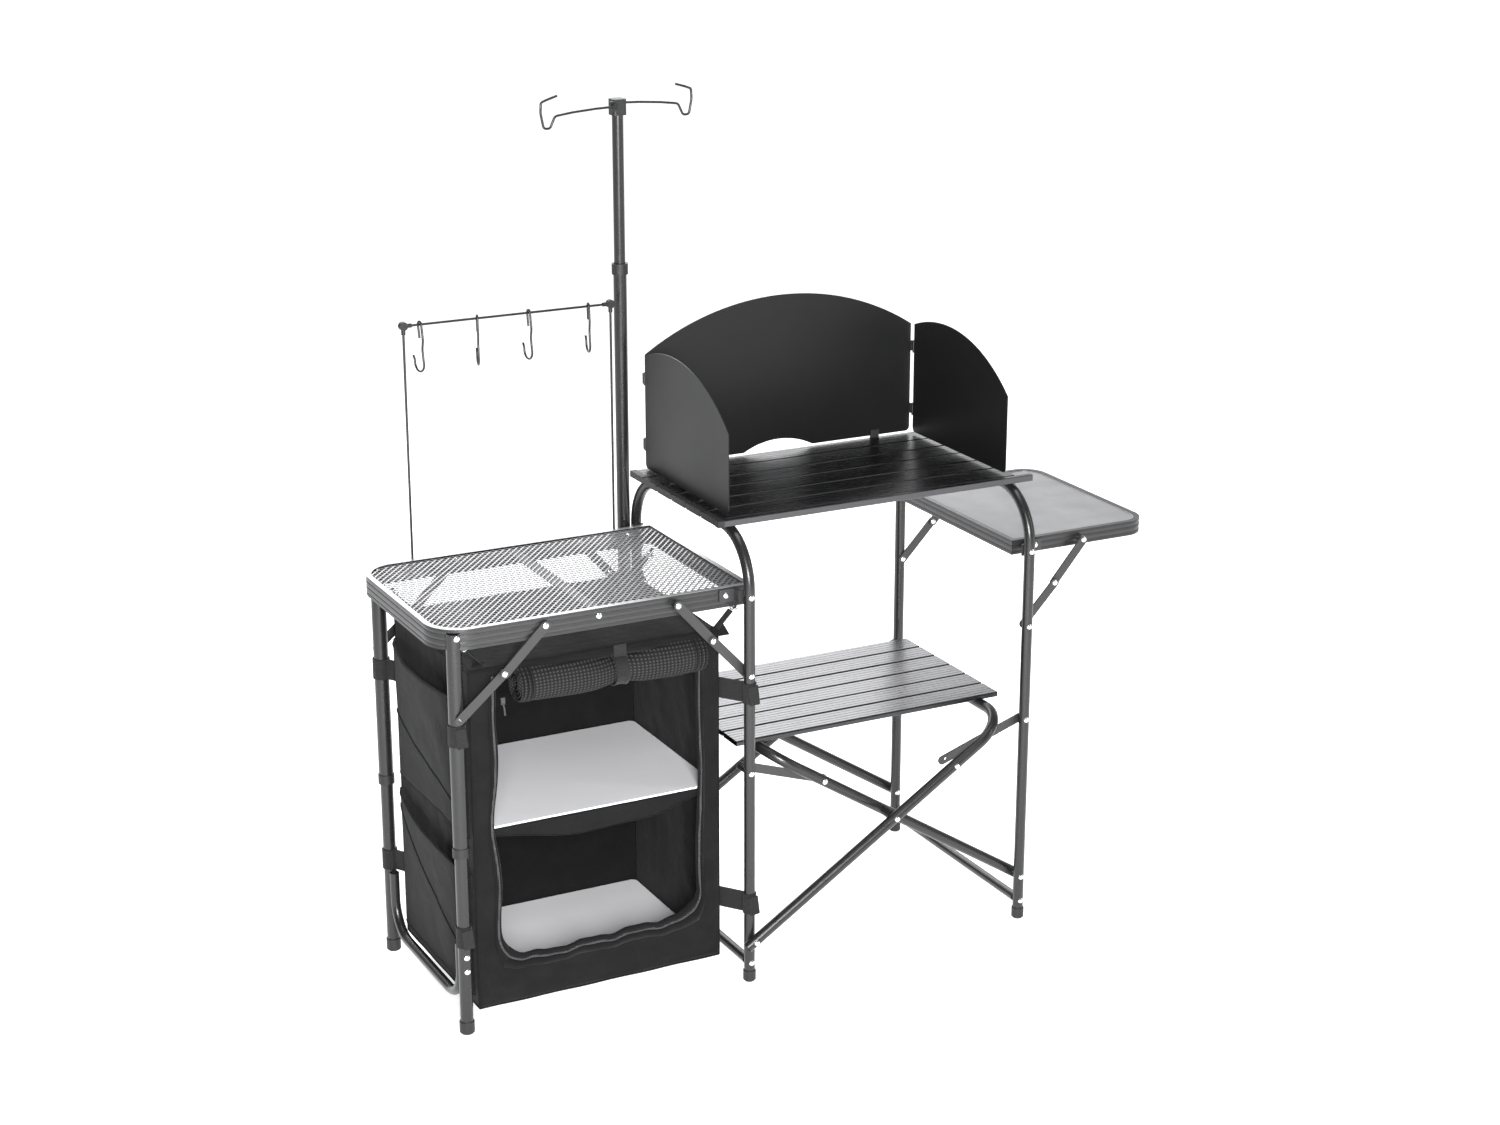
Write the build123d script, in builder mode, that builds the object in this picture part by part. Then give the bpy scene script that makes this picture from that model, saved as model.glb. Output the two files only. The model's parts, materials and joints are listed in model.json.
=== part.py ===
"""Camp kitchen table: a cross-framed work table with a wire-mesh side table over a fabric cupboard,
a folding side tray, a three-panel windscreen, a hook rack and a telescopic lantern pole.

Frame: origin at the middle of the footprint on the floor, +X to the tray end, -Y to the user, +Z up.
"""
import os
from math import atan2, cos, degrees, sin, sqrt, tan

from build123d import *

os.makedirs("parts", exist_ok=True)

# ---------------------------------------------------------------- driving dimensions (mm)
SPACING = 522.0            # between the two end frames, along X
DEPTH = 420.0              # between front and rear legs, along Y
TABLE_TOP = 780.0          # upper face of the slatted top
SIDE_TOP = 677.0           # upper face of the mesh table and of the tray
SHELF_TOP = 400.0          # upper face of the slatted shelf
OUTER_LEGS = 480.0         # outer grill legs, left of the left end frame
GRILL_REACH = 511.0        # outer edge of the mesh table, left of the left end frame
TRAY_REACH = 260.0         # outer edge of the tray, right of the right end frame
OVERLAP = 17.0             # side tables reach this far past their end frame's leg line
POLE_TOP = 1392.0          # upper face of the lantern pole's head

TUBE = 18.0                # outside diameter of the frame tube
WALL = 1.0                 # wall of every steel tube
BEND = 88.0                # centre-line radius of the end frames' corners
ROD = 4.0                  # wire of the rack, the lantern arms and the hooks
SLAT_T = 9.0               # thickness of a slat
RUN = 0.05                 # radial clearance of a pin that turns
SHANK = 2.5                # rivet shank radius
HEAD = 5.0                 # rivet head radius
DOME = 2.0                 # rivet head height
SEAT = 0.8                 # depth of the flat pressed into a tube under a rivet head
BAR_W = 15.0               # width of brace and link bars
BAR_T = 2.5                # their thickness

# ---------------------------------------------------------------- places worked out from them
X_LEFT = (GRILL_REACH - SPACING - TRAY_REACH) / 2      # left end frame
X_RIGHT = X_LEFT + SPACING                             # right end frame
X_OUTER = X_LEFT - OUTER_LEGS                          # outer legs of the mesh table
Y_FRONT = -DEPTH / 2 - 3.4                             # front legs
Y_REAR = Y_FRONT + DEPTH                               # rear legs
Y_MID = (Y_FRONT + Y_REAR) / 2
LEG_ROWS = (Y_FRONT, Y_REAR)
R = TUBE / 2

A_OFF = -19.5              # arms of cross frame A, from the leg line
B_OFF = 22.5               # arms of cross frame B, from the leg line
RLINK_OFF = 10.0           # front face of the right link bars, from the leg line
LLINK_OFF = 33.4           # front face of the left link bars

PIVOT_Z = 78.0             # height of the cross frames' lower pivots
BAR_Z = SHELF_TOP - SLAT_T - R - 0.5                   # height of the crossbars under the shelf
ARM_REACH = 474.0          # run of a cross arm along X, from pivot to crossbar
ARM = sqrt(ARM_REACH**2 + (BAR_Z - PIVOT_Z) ** 2)
ARM_ANGLE = atan2(BAR_Z - PIVOT_Z, ARM_REACH)
HALF_ARM = SPACING / 2 / cos(ARM_ANGLE)                # pivot to the crossing
CROSS_X = X_LEFT + SPACING / 2
CROSS_Z = PIVOT_Z + SPACING / 2 * tan(ARM_ANGLE)
LINK_POINT = 135.0         # crossing to a link bar's pivot, along the arm
# Height above the lower pivot at which a link bar has the same length open and folded flat
LINK_FOOT = 2 * HALF_ARM * LINK_POINT * (sin(ARM_ANGLE) + 1) / (HALF_ARM + LINK_POINT)
LINK_Z = PIVOT_Z + LINK_FOOT

RIM_Y0 = Y_FRONT + 28.0    # outer faces of both side tables' rims
RIM_Y1 = Y_REAR - 28.0
RIM_T = 1.6
GRILL_H = 33.0             # height of the mesh table's rim
TRAY_H = 25.0              # height of the tray's rim
OUTER_TUBE = 24.0          # upper outer legs
INNER_TUBE = 21.0          # lower outer legs, sliding inside the upper ones
Y_OUTER = (RIM_Y0 + RIM_T + 13.0, RIM_Y1 - RIM_T - 13.0)
SIDE_PIVOT_Z = 665.0       # pivots of both side tables
BRACE_Z = 534.0            # brace pivots on the legs
TRAY_BRACE_X = X_RIGHT + 117.0
TRAY_BRACE_Z = 664.0

POLE_X, POLE_Y = X_LEFT - 21.5, Y_REAR + 4.0
POLE_D, MAST_D = 22.0, 18.6
POLE_FOOT, POLE_JOINT = 540.0, 1112.0
RACK_X = (X_LEFT - 412.0, X_LEFT - 52.0)
RACK_Y = RIM_Y1 + 5.0
RACK_Z = 1062.0
HOOK_SHARES = (0.077, 0.349, 0.597, 0.89)              # places of the hooks along the bar
HOOK_TURNS = (12.0, -16.0, 6.0, -10.0)                 # how far each hook is turned about Z, degrees

CUP_X0, CUP_X1 = X_LEFT - 460.0, X_LEFT - 38.0         # fabric cupboard
CUP_Y0, CUP_Y1 = Y_FRONT + 36.0, Y_REAR - 62.0
CUP_Z0, CUP_Z1 = 40.0, 604.0
CLOTH = 3.0                # thickness of the cupboard's padded cloth walls
DOOR_X = (X_LEFT - 418.0, X_LEFT - 78.0)               # its front opening
DOOR_Z = (112.0, 590.0)

SCREEN_T = 1.4
SCREEN_X0, SCREEN_X1 = X_LEFT - 2.0, X_RIGHT - 14.0
SCREEN_Y = Y_FRONT + 372.0
SCREEN_Z = TABLE_TOP + 4.0
FRONT_Y = Y_FRONT + 46.0   # front edge of the slatted top


def save(part, name):
    """Labels a finished piece and writes its STEP."""
    part.label = name
    export_step(part, f"parts/{name}.step")


def tube(points, radii, diameter, wall=WALL):
    """A round tube, or a rod when wall is 0, along straight runs joined by tangent arcs."""
    with BuildLine() as path:
        if radii:
            FilletPolyline(*points, radius=radii)
        else:
            Polyline(*points)
    with BuildSketch(Plane(origin=path.line @ 0, z_dir=path.line % 0)) as section:
        Circle(diameter / 2)
        if wall:
            Circle(diameter / 2 - wall, mode=Mode.SUBTRACT)
    sweep(section.sketch, path=path.line)


def rivet(x, z, y0, y1):
    """A rivet along Y with its shank from y0 to y1 and a domed head proud of each end."""
    length = y1 - y0
    with BuildSketch(Plane(origin=(x, y0, z), x_dir=(1, 0, 0), z_dir=(0, 0, 1))) as profile:
        with BuildLine():
            Polyline((0, -DOME), (HEAD * 0.5, -DOME * 0.9), (HEAD * 0.86, -DOME * 0.45), (HEAD, 0),
                     (SHANK, 0), (SHANK, length), (HEAD, length), (HEAD * 0.86, length + DOME * 0.45),
                     (HEAD * 0.5, length + DOME * 0.9), (0, length + DOME), (0, -DOME))
        make_face()
    revolve(profile.sketch, axis=Axis((x, y0, z), (0, 1, 0)))


def stud(x, z, y, out):
    """A rivet's domed head alone on a face at y; out is -1 when it looks to the front, +1 to the rear."""
    with BuildSketch(Plane(origin=(x, y, z), x_dir=(1, 0, 0), z_dir=(0, 0, 1))) as profile:
        with BuildLine():
            Polyline((0, 0), (HEAD, 0), (HEAD * 0.86, out * DOME * 0.45), (HEAD * 0.5, out * DOME * 0.9),
                     (0, out * DOME), (0, 0))
        make_face()
    revolve(profile.sketch, axis=Axis((x, y, z), (0, 1, 0)))


def drill(x, z, y0, y1):
    """A running hole along Y for a rivet, with a pressed flat for its heads at y0 and y1."""
    with Locations((x, (y0 + y1) / 2, z)):
        Cylinder(SHANK + RUN, y1 - y0 + 4, rotation=(90, 0, 0), mode=Mode.SUBTRACT)
    for y in (y0 - 2, y1 + 2):
        with Locations((x, y, z)):
            Cylinder(HEAD + 0.3, 4, rotation=(90, 0, 0), mode=Mode.SUBTRACT)


def spacer(x, z, y0, y1, radius=5.5):
    """A round sleeve on a rivet, from y0 to y1."""
    with BuildSketch(Plane(origin=(x, y0, z), x_dir=(1, 0, 0), z_dir=(0, 1, 0))) as ring:
        Circle(radius)
        Circle(SHANK + RUN, mode=Mode.SUBTRACT)
    extrude(ring.sketch, amount=y1 - y0)


def bar(xa, za, xb, zb, y, past=0.0):
    """A flat bar with round ends and a pin hole at each end, its front face at y."""
    length = sqrt((xb - xa) ** 2 + (zb - za) ** 2)
    plane = Plane(origin=(xa, y, za), x_dir=(xb - xa, 0, zb - za), z_dir=(0, -1, 0))
    with BuildSketch(plane) as strap:
        with Locations(((length + past) / 2, 0)):
            SlotOverall(length + past + BAR_W, BAR_W)
        with Locations((0, 0), (length, 0)):
            Circle(SHANK + RUN, mode=Mode.SUBTRACT)
    extrude(strap.sketch, amount=-BAR_T)


def foot(x, y, diameter, height=20.0):
    """A moulded foot: a cup pushed on a tube's end, with a round bottom edge."""
    wall = 1.6
    r = diameter / 2
    with BuildSketch(Plane(origin=(x, y, 0), x_dir=(1, 0, 0), z_dir=(0, -1, 0))) as profile:
        with BuildLine():
            Polyline((0, 0), (r - 0.5, 0), (r + wall, 2.5), (r + wall, height - 1), (r + wall - 1, height),
                     (r, height), (r, 3), (0, 3), (0, 0))
        make_face()
    revolve(profile.sketch, axis=Axis((x, y, 0), (0, 0, 1)))


# ---------------------------------------------------------------- end frames
def end_frame(x, pivots):
    """An inverted U of tube in the YZ plane with rivet holes through both legs at the given heights."""
    top = TABLE_TOP - SLAT_T - R - 0.5
    tube([(x, Y_FRONT, 3), (x, Y_FRONT, top), (x, Y_REAR, top), (x, Y_REAR, 3)], BEND, TUBE)
    for y in LEG_ROWS:
        for z in pivots:
            drill(x, z, y - R + SEAT, y + R - SEAT)


LEG_PIVOTS = (PIVOT_Z, LINK_Z, BRACE_Z, SIDE_PIVOT_Z)
STRETCH_Z = 34.0
for name, x in (("left", X_LEFT), ("right", X_RIGHT)):
    with BuildPart() as frame:
        end_frame(x, LEG_PIVOTS)
    save(frame.part, f"{name}_end_frame")

with BuildPart() as right_stretcher:
    tube([(X_RIGHT, Y_FRONT + R, STRETCH_Z), (X_RIGHT, Y_REAR - R, STRETCH_Z)], None, 16.0)
save(right_stretcher.part, "right_stretcher")

with BuildPart() as right_feet:
    for y in LEG_ROWS:
        foot(X_RIGHT, y, TUBE)
save(right_feet.part, "right_feet")

# ---------------------------------------------------------------- cross frames and link bars
def along(start_x, side, distance):
    """The point on a cross arm at a distance from its lower pivot; side is +1 for an arm leaning right."""
    return start_x + side * distance * cos(ARM_ANGLE), PIVOT_Z + distance * sin(ARM_ANGLE)


def cross_frame(start_x, side, offset, link_at):
    """A long U of tube: two arms from the lower pivots to a crossbar under the shelf."""
    foot_x, foot_z = along(start_x, side, -16)
    top_x, top_z = along(start_x, side, ARM)
    front, rear = Y_FRONT + offset, Y_REAR + offset
    tube([(foot_x, front, foot_z), (top_x, front, top_z), (top_x, rear, top_z), (foot_x, rear, foot_z)],
         62.0, TUBE)
    for y in (front, rear):
        for distance in (0, HALF_ARM, link_at):
            x, z = along(start_x, side, distance)
            drill(x, z, y - R + SEAT, y + R - SEAT)


LINK_AT = HALF_ARM + LINK_POINT
AX, AZ = along(X_LEFT, 1, LINK_AT)                     # right link bar's pivot on frame A
BX, BZ = along(X_RIGHT, -1, LINK_AT)                   # left link bar's pivot on frame B

with BuildPart() as cross_a:
    cross_frame(X_LEFT, 1, A_OFF, LINK_AT)
save(cross_a.part, "cross_frame_a")

with BuildPart() as cross_b:
    cross_frame(X_RIGHT, -1, B_OFF, LINK_AT)
save(cross_b.part, "cross_frame_b")

with BuildPart() as cross_rivets:
    for y in LEG_ROWS:
        rivet(CROSS_X, CROSS_Z, y + A_OFF - R + SEAT, y + B_OFF + R - SEAT)
        rivet(AX, AZ, y + A_OFF - R + SEAT, y + A_OFF + R - SEAT)
save(cross_rivets.part, "cross_rivets")

with BuildPart() as cross_spacers:
    for y in LEG_ROWS:
        spacer(CROSS_X, CROSS_Z, y + A_OFF + R, y + B_OFF - R - 0.2, 8.0)
save(cross_spacers.part, "cross_spacers")

with BuildPart() as link_rivets:
    for y in LEG_ROWS:
        rivet(BX, BZ, y + B_OFF - R + SEAT, y + B_OFF + R - SEAT)
save(link_rivets.part, "link_rivets")


def link_bars(leg_x, x, z, offset):
    """A front and a rear link bar from the leg pivots to a cross arm, where their pivot is left open."""
    for y in LEG_ROWS:
        bar(leg_x, LINK_Z, x, z, y + offset, past=6.0)


with BuildPart() as right_link:
    link_bars(X_RIGHT, AX, AZ, RLINK_OFF)
save(right_link.part, "right_link_bars")

with BuildPart() as left_link:
    link_bars(X_LEFT, BX, BZ, LLINK_OFF)
save(left_link.part, "left_link_bars")


# ---------------------------------------------------------------- slatted shelf and top
def slats(x0, x1, y0, y1, top, count, gap):
    """Flat hollow slats along X with rounded long edges and four shallow flutes in each upper face."""
    width = (y1 - y0 - gap * (count - 1)) / count
    for k in range(count):
        y = y0 + width / 2 + k * (width + gap)
        plane = Plane(origin=(x0, y, top - SLAT_T / 2), x_dir=(0, 1, 0), z_dir=(1, 0, 0))
        with BuildSketch(plane) as section:
            RectangleRounded(width, SLAT_T, 2.4)
            RectangleRounded(width - 2.4, SLAT_T - 2.4, 1.2, mode=Mode.SUBTRACT)
            with Locations(*[((j - 1.5) * width / 5, SLAT_T / 2) for j in range(4)]):
                Rectangle(1.0, 0.8, mode=Mode.SUBTRACT)
        extrude(section.sketch, amount=x1 - x0)


SHELF_X = (X_LEFT + 6, X_LEFT + 504)
SHELF_Y = (Y_FRONT + 56, Y_FRONT + 364)
with BuildPart() as shelf:
    slats(*SHELF_X, *SHELF_Y, SHELF_TOP, 6, 3.0)
save(shelf.part, "shelf_slats")

SHELF_BAR_X = (along(X_RIGHT, -1, ARM)[0], along(X_LEFT, 1, ARM)[0])   # the crossbars under the shelf
with BuildPart() as clips:
    for y in (SHELF_Y[0] + 42, Y_MID, SHELF_Y[1] - 42):
        with BuildSketch(Plane(origin=(SHELF_BAR_X[0], y - 10, BAR_Z), x_dir=(1, 0, 0), z_dir=(0, 1, 0))):
            Circle(R + 2.2)
            Circle(R + 0.1, mode=Mode.SUBTRACT)
            with Locations((0, R + 4)):
                Rectangle(11, 12, mode=Mode.SUBTRACT)
            with Locations((0, -R - 0.4 - 3)):
                Rectangle(40, 6, mode=Mode.SUBTRACT)
        extrude(amount=20)
save(clips.part, "shelf_clips")

TOP_X = (X_LEFT - 20, X_RIGHT + 4)
TOP_Y = (FRONT_Y + 12, Y_FRONT + 376)
with BuildPart() as top:
    slats(*TOP_X, *TOP_Y, TABLE_TOP, 6, 3.0)
save(top.part, "top_slats")

with BuildPart() as rail:
    plane = Plane(origin=(TOP_X[0], FRONT_Y + 5, TABLE_TOP - 5.4), x_dir=(0, 1, 0), z_dir=(1, 0, 0))
    with BuildSketch(plane):
        RectangleRounded(10, 10.8, 1.2)
        Rectangle(7.4, 8.2, mode=Mode.SUBTRACT)
    extrude(amount=TOP_X[1] - TOP_X[0] + 28)
save(rail.part, "top_front_rail")

SLAT_PITCH = (TOP_Y[1] - TOP_Y[0] + 3.0) / 6
with BuildPart() as caps:
    for k in range(6):
        y = TOP_Y[0] + SLAT_PITCH * (k + 0.5) - 1.5
        with Locations((TOP_X[0] - 5.5, y, TABLE_TOP - SLAT_T / 2)):
            Box(11, SLAT_PITCH - 5, SLAT_T + 1.6)
        if k:
            with Locations((TOP_X[0] - 5.5, y - SLAT_PITCH / 2, TABLE_TOP - SLAT_T / 2)):
                Cylinder(3.8, 11, rotation=(0, 90, 0))
    with Locations((TOP_X[0] - 5.5, FRONT_Y + 6, TABLE_TOP - 5.4)):
        Box(11, 12, 10.8)
    fillet(caps.edges().filter_by(Axis.X), 0.6)
save(caps.part, "top_end_caps")


# ---------------------------------------------------------------- windscreen
SIDE_Y0 = Y_FRONT + 62.0
REAR_H, FRONT_H = 192.0, 131.0


def side_screen(pin_x, pin_y):
    """A side panel in the YZ plane: upright rear edge, top in one arc down to a lower front edge."""
    x = pin_x - SCREEN_T / 2
    y1 = pin_y - 2.4
    with BuildSketch(Plane(origin=(x, 0, SCREEN_Z), x_dir=(0, 1, 0), z_dir=(1, 0, 0))) as sketch:
        with BuildLine():
            Polyline((SIDE_Y0, FRONT_H), (SIDE_Y0, 0), (y1, 0), (y1, REAR_H))
            ThreePointArc((y1, REAR_H), (SIDE_Y0 + 128, REAR_H + 10), (SIDE_Y0, FRONT_H))
        make_face()
        fillet(sketch.vertices().group_by(Axis.Y)[0], 8)
    extrude(sketch.sketch, amount=SCREEN_T)


with BuildPart() as screen_back:
    width = SCREEN_X1 - SCREEN_X0
    plane = Plane(origin=(SCREEN_X0, SCREEN_Y, SCREEN_Z), x_dir=(1, 0, 0), z_dir=(0, -1, 0))
    with BuildSketch(plane) as sketch:
        with BuildLine():
            Polyline((0, REAR_H), (0, 0), (width * 0.36, 0))
            ThreePointArc((width * 0.36, 0), (width * 0.49, 17), (width * 0.62, 0))
            Polyline((width * 0.62, 0), (width, 0), (width, REAR_H))
            ThreePointArc((width, REAR_H), (width / 2, REAR_H + 76), (0, REAR_H))
        make_face()
        fillet(sketch.vertices().group_by(Axis.Y)[0].sort_by(Axis.X)[0], 8)
        fillet(sketch.vertices().group_by(Axis.Y)[0].sort_by(Axis.X)[-1], 8)
    extrude(amount=-SCREEN_T)
save(screen_back.part, "windscreen_back")

LEFT_HINGE = (SCREEN_X0 - 2.4, SCREEN_Y - 2.6)         # left pin, close to the back panel
RIGHT_HINGE = (SCREEN_X1 + 2.4, SCREEN_Y - 6.0)        # right pin stands further off, to fold over the left
with BuildPart() as screen_left:
    side_screen(*LEFT_HINGE)
save(screen_left.part, "windscreen_left")
with BuildPart() as screen_right:
    side_screen(*RIGHT_HINGE)
save(screen_right.part, "windscreen_right")


def knuckles(pin_x, pin_y, wing_x):
    """Two small hinges: a pin, its barrel and a leaf riveted to the back panel."""
    for z in (SCREEN_Z + 40, SCREEN_Z + 152):
        with Locations((pin_x, pin_y, z)):
            Cylinder(1.9, 22)
        with BuildSketch(Plane.XY.offset(z - 9)) as leaf:
            with BuildLine():
                Polyline((pin_x, pin_y), (pin_x, SCREEN_Y + SCREEN_T + 0.2),
                         (wing_x, SCREEN_Y + SCREEN_T + 0.2),
                         (wing_x, SCREEN_Y + SCREEN_T + 1.6), (pin_x, SCREEN_Y + SCREEN_T + 1.6))
                Polyline((pin_x, SCREEN_Y + SCREEN_T + 1.6),
                         (pin_x - (wing_x - pin_x) * 0.08, SCREEN_Y + SCREEN_T + 1.6),
                         (pin_x - (wing_x - pin_x) * 0.08, pin_y), (pin_x, pin_y))
            make_face()
        extrude(leaf.sketch, amount=18)


with BuildPart() as hinges:
    knuckles(*LEFT_HINGE, SCREEN_X0 + 16)
    knuckles(*RIGHT_HINGE, SCREEN_X1 - 16)
    for x in (SCREEN_X0 + 70, SCREEN_X1 - 70):
        plane = Plane(origin=(x - 8, SCREEN_Y + SCREEN_T / 2, TABLE_TOP), x_dir=(0, 1, 0), z_dir=(1, 0, 0))
        with BuildSketch(plane):
            with Locations((0, 7)):
                Rectangle(4.4, 14)
            with Locations((0, 13.9)):
                Rectangle(SCREEN_T + 0.2, 20, mode=Mode.SUBTRACT)
        extrude(amount=16)
save(hinges.part, "windscreen_hinges")


# ---------------------------------------------------------------- side tables
def table_face(plane, x0, x1, radius, round_left, inset):
    """A filled side-table outline as a sketch: rounded outer corners, nearly square inner ones."""
    with BuildSketch(plane) as face:
        with Locations(((x0 + x1) / 2, Y_MID)):
            Rectangle(x1 - x0 - 2 * inset, RIM_Y1 - RIM_Y0 - 2 * inset)
        columns = face.vertices().group_by(Axis.X)
        fillet(columns[0 if round_left else -1], radius - inset)
    return face.sketch


def rim(x0, x1, top, height, radius, round_left, flutes):
    """A rolled rim: an upright wall fluted outside, with a lip turned in at its top and bottom."""
    def layer(z0, z1, outer, inner):
        plane = Plane.XY.offset(z0)
        extrude(table_face(plane, x0, x1, radius, round_left, outer), amount=z1 - z0)
        extrude(table_face(plane, x0, x1, radius, round_left, inner), amount=z1 - z0, mode=Mode.SUBTRACT)

    edges = [top - height + height * k / (2 * flutes + 1) for k in range(2 * flutes + 2)]
    for k in range(2 * flutes + 1):
        layer(edges[k], edges[k + 1], 0.0 if k % 2 == 0 else 0.7, RIM_T + 0.8)
    layer(top - 2.0, top, 0.0, 9.0)
    layer(top - height, top - height + 1.6, 0.0, 7.0)


def pin_holes(points, y0, y1):
    """Running holes along Y through both long sides of a rim."""
    for x, z in points:
        for y in (y0, y1):
            with Locations((x, y, z)):
                Cylinder(SHANK + RUN, 12, rotation=(90, 0, 0), mode=Mode.SUBTRACT)


GRILL_X = (X_LEFT - GRILL_REACH, X_LEFT + OVERLAP)
TRAY_X = (X_RIGHT - OVERLAP, X_RIGHT + TRAY_REACH)
BRACKET_X = 28.0           # a bracket's rivet in the rim, from the leg line
OUTER_RIM_X, OUTER_MID_X = X_LEFT - 337.0, X_LEFT - 406.0
INNER_RIM_X, INNER_MID_X = X_LEFT - 117.0, X_LEFT - 58.0
RIM_Z, MID_Z = 664.0, 597.0
STRAP_X = (X_LEFT - 246.0,)

with BuildPart() as grill_rim:
    rim(*GRILL_X, SIDE_TOP, GRILL_H, 58.0, True, 3)
    pin_holes([(OUTER_RIM_X, RIM_Z), (INNER_RIM_X, RIM_Z), (X_LEFT - BRACKET_X, RIM_Z)],
              RIM_Y0, RIM_Y1)
    with Locations(*[(X_OUTER, y, SIDE_TOP - GRILL_H + 12) for y in Y_OUTER]):
        Cylinder(OUTER_TUBE / 2 + 0.1, 30, mode=Mode.SUBTRACT)
save(grill_rim.part, "grill_rim")

with BuildPart() as grill_mesh:
    extrude(table_face(Plane.XY.offset(SIDE_TOP - 4.0), *GRILL_X, 58.0, True, RIM_T + 0.9), amount=2.0)
save(grill_mesh.part, "grill_mesh")

with BuildPart() as straps:
    for x in STRAP_X:
        with Locations((x, Y_MID, SIDE_TOP - 6.0)):
            Box(20, RIM_Y1 - RIM_Y0 - 2 * RIM_T - 2.0, 3.6)
            with Locations((0, 0, -1.2)):
                Box(13, RIM_Y1 - RIM_Y0, 2.4, mode=Mode.SUBTRACT)
save(straps.part, "grill_cross_straps")

with BuildPart() as tray_rim:
    rim(*TRAY_X, SIDE_TOP, TRAY_H, 42.0, False, 2)
    pin_holes([(TRAY_BRACE_X, TRAY_BRACE_Z), (X_RIGHT + BRACKET_X, RIM_Z)], RIM_Y0, RIM_Y1)
save(tray_rim.part, "tray_rim")

with BuildPart() as tray_panel:
    extrude(table_face(Plane.XY.offset(SIDE_TOP - 6.0), *TRAY_X, 42.0, False, RIM_T + 0.9), amount=4.0)
save(tray_panel.part, "tray_panel")


def mirror_rows(y0, y1):
    """The same span of Y at the front and, mirrored, at the rear."""
    return ((y0, y1), (2 * Y_MID - y1, 2 * Y_MID - y0))


def rivet_pair(x, z, y0, y1):
    """The same rivet at the front and, mirrored, at the rear."""
    for span in mirror_rows(y0, y1):
        rivet(x, z, *span)


def stud_pair(x, z, y):
    """The same rivet head on a face at the front and, mirrored, at the rear."""
    stud(x, z, y, -1)
    stud(x, z, 2 * Y_MID - y, 1)


def bracket(leg_x, side):
    """A cranked plate from a leg's pivot to the rim; side is +1 when the table lies right of the leg."""
    thick, far = 2.5, BRACKET_X + 12
    leg_y, rim_y = Y_FRONT + RLINK_OFF, RIM_Y0 - thick - 0.1
    for mirrored in (False, True):
        def place(u, y):
            return leg_x + side * u, (2 * Y_MID - y) if mirrored else y
        with BuildSketch(Plane.XY.offset(SIDE_PIVOT_Z - 11)) as plan:
            with BuildLine():
                Polyline(*[place(*p) for p in (
                    (-8, leg_y), (14, leg_y), (14, rim_y), (far, rim_y), (far, rim_y + thick),
                    (14 - thick, rim_y + thick), (14 - thick, leg_y + thick), (-8, leg_y + thick),
                    (-8, leg_y))])
            make_face()
        extrude(plan.sketch, amount=20)
    pin_holes([(leg_x, SIDE_PIVOT_Z), (leg_x + side * BRACKET_X, RIM_Z)], RIM_Y0 - 6, RIM_Y1 + 6)
    pin_holes([(leg_x, SIDE_PIVOT_Z)], Y_FRONT + RLINK_OFF, Y_REAR - RLINK_OFF)


with BuildPart() as grill_brackets:
    bracket(X_LEFT, -1)
save(grill_brackets.part, "grill_brackets")
with BuildPart() as tray_brackets:
    bracket(X_RIGHT, 1)
    for y0, y1 in mirror_rows(Y_FRONT + RLINK_OFF + 2 * BAR_T + 3.5, RIM_Y0):
        spacer(TRAY_BRACE_X, TRAY_BRACE_Z, y0, y1)
save(tray_brackets.part, "tray_brackets")


def brace_bars(xa, za, xb, zb, y):
    """A front and a rear bar between two pivots, the front one's outer face at y."""
    bar(xa, za, xb, zb, y)
    bar(xa, za, xb, zb, 2 * Y_MID - y - BAR_T)


OUTER_Y = RIM_Y0 - 2 * BAR_T - 0.6                     # outer braces lie against the rim
INNER_Y = Y_FRONT + RLINK_OFF                          # inner and tray braces start behind the legs
with BuildPart() as grill_lower:
    brace_bars(X_OUTER, BRACE_Z, OUTER_MID_X, MID_Z, OUTER_Y + BAR_T + 0.3)
    brace_bars(X_LEFT, BRACE_Z, INNER_MID_X, MID_Z, INNER_Y)
save(grill_lower.part, "grill_braces_lower")
with BuildPart() as grill_upper:
    brace_bars(OUTER_MID_X, MID_Z, OUTER_RIM_X, RIM_Z, OUTER_Y)
    brace_bars(INNER_MID_X, MID_Z, INNER_RIM_X, RIM_Z, INNER_Y + BAR_T + 0.3)
save(grill_upper.part, "grill_braces_upper")

TRAY_MID_X = X_RIGHT + 60.0
TRAY_MID_Z = 597.0
with BuildPart() as tray_lower:
    brace_bars(X_RIGHT, BRACE_Z, TRAY_MID_X, TRAY_MID_Z, INNER_Y)
save(tray_lower.part, "tray_braces_lower")
with BuildPart() as tray_upper:
    brace_bars(TRAY_MID_X, TRAY_MID_Z, TRAY_BRACE_X, TRAY_BRACE_Z, INNER_Y + BAR_T + 0.3)
save(tray_upper.part, "tray_braces_upper")

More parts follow.
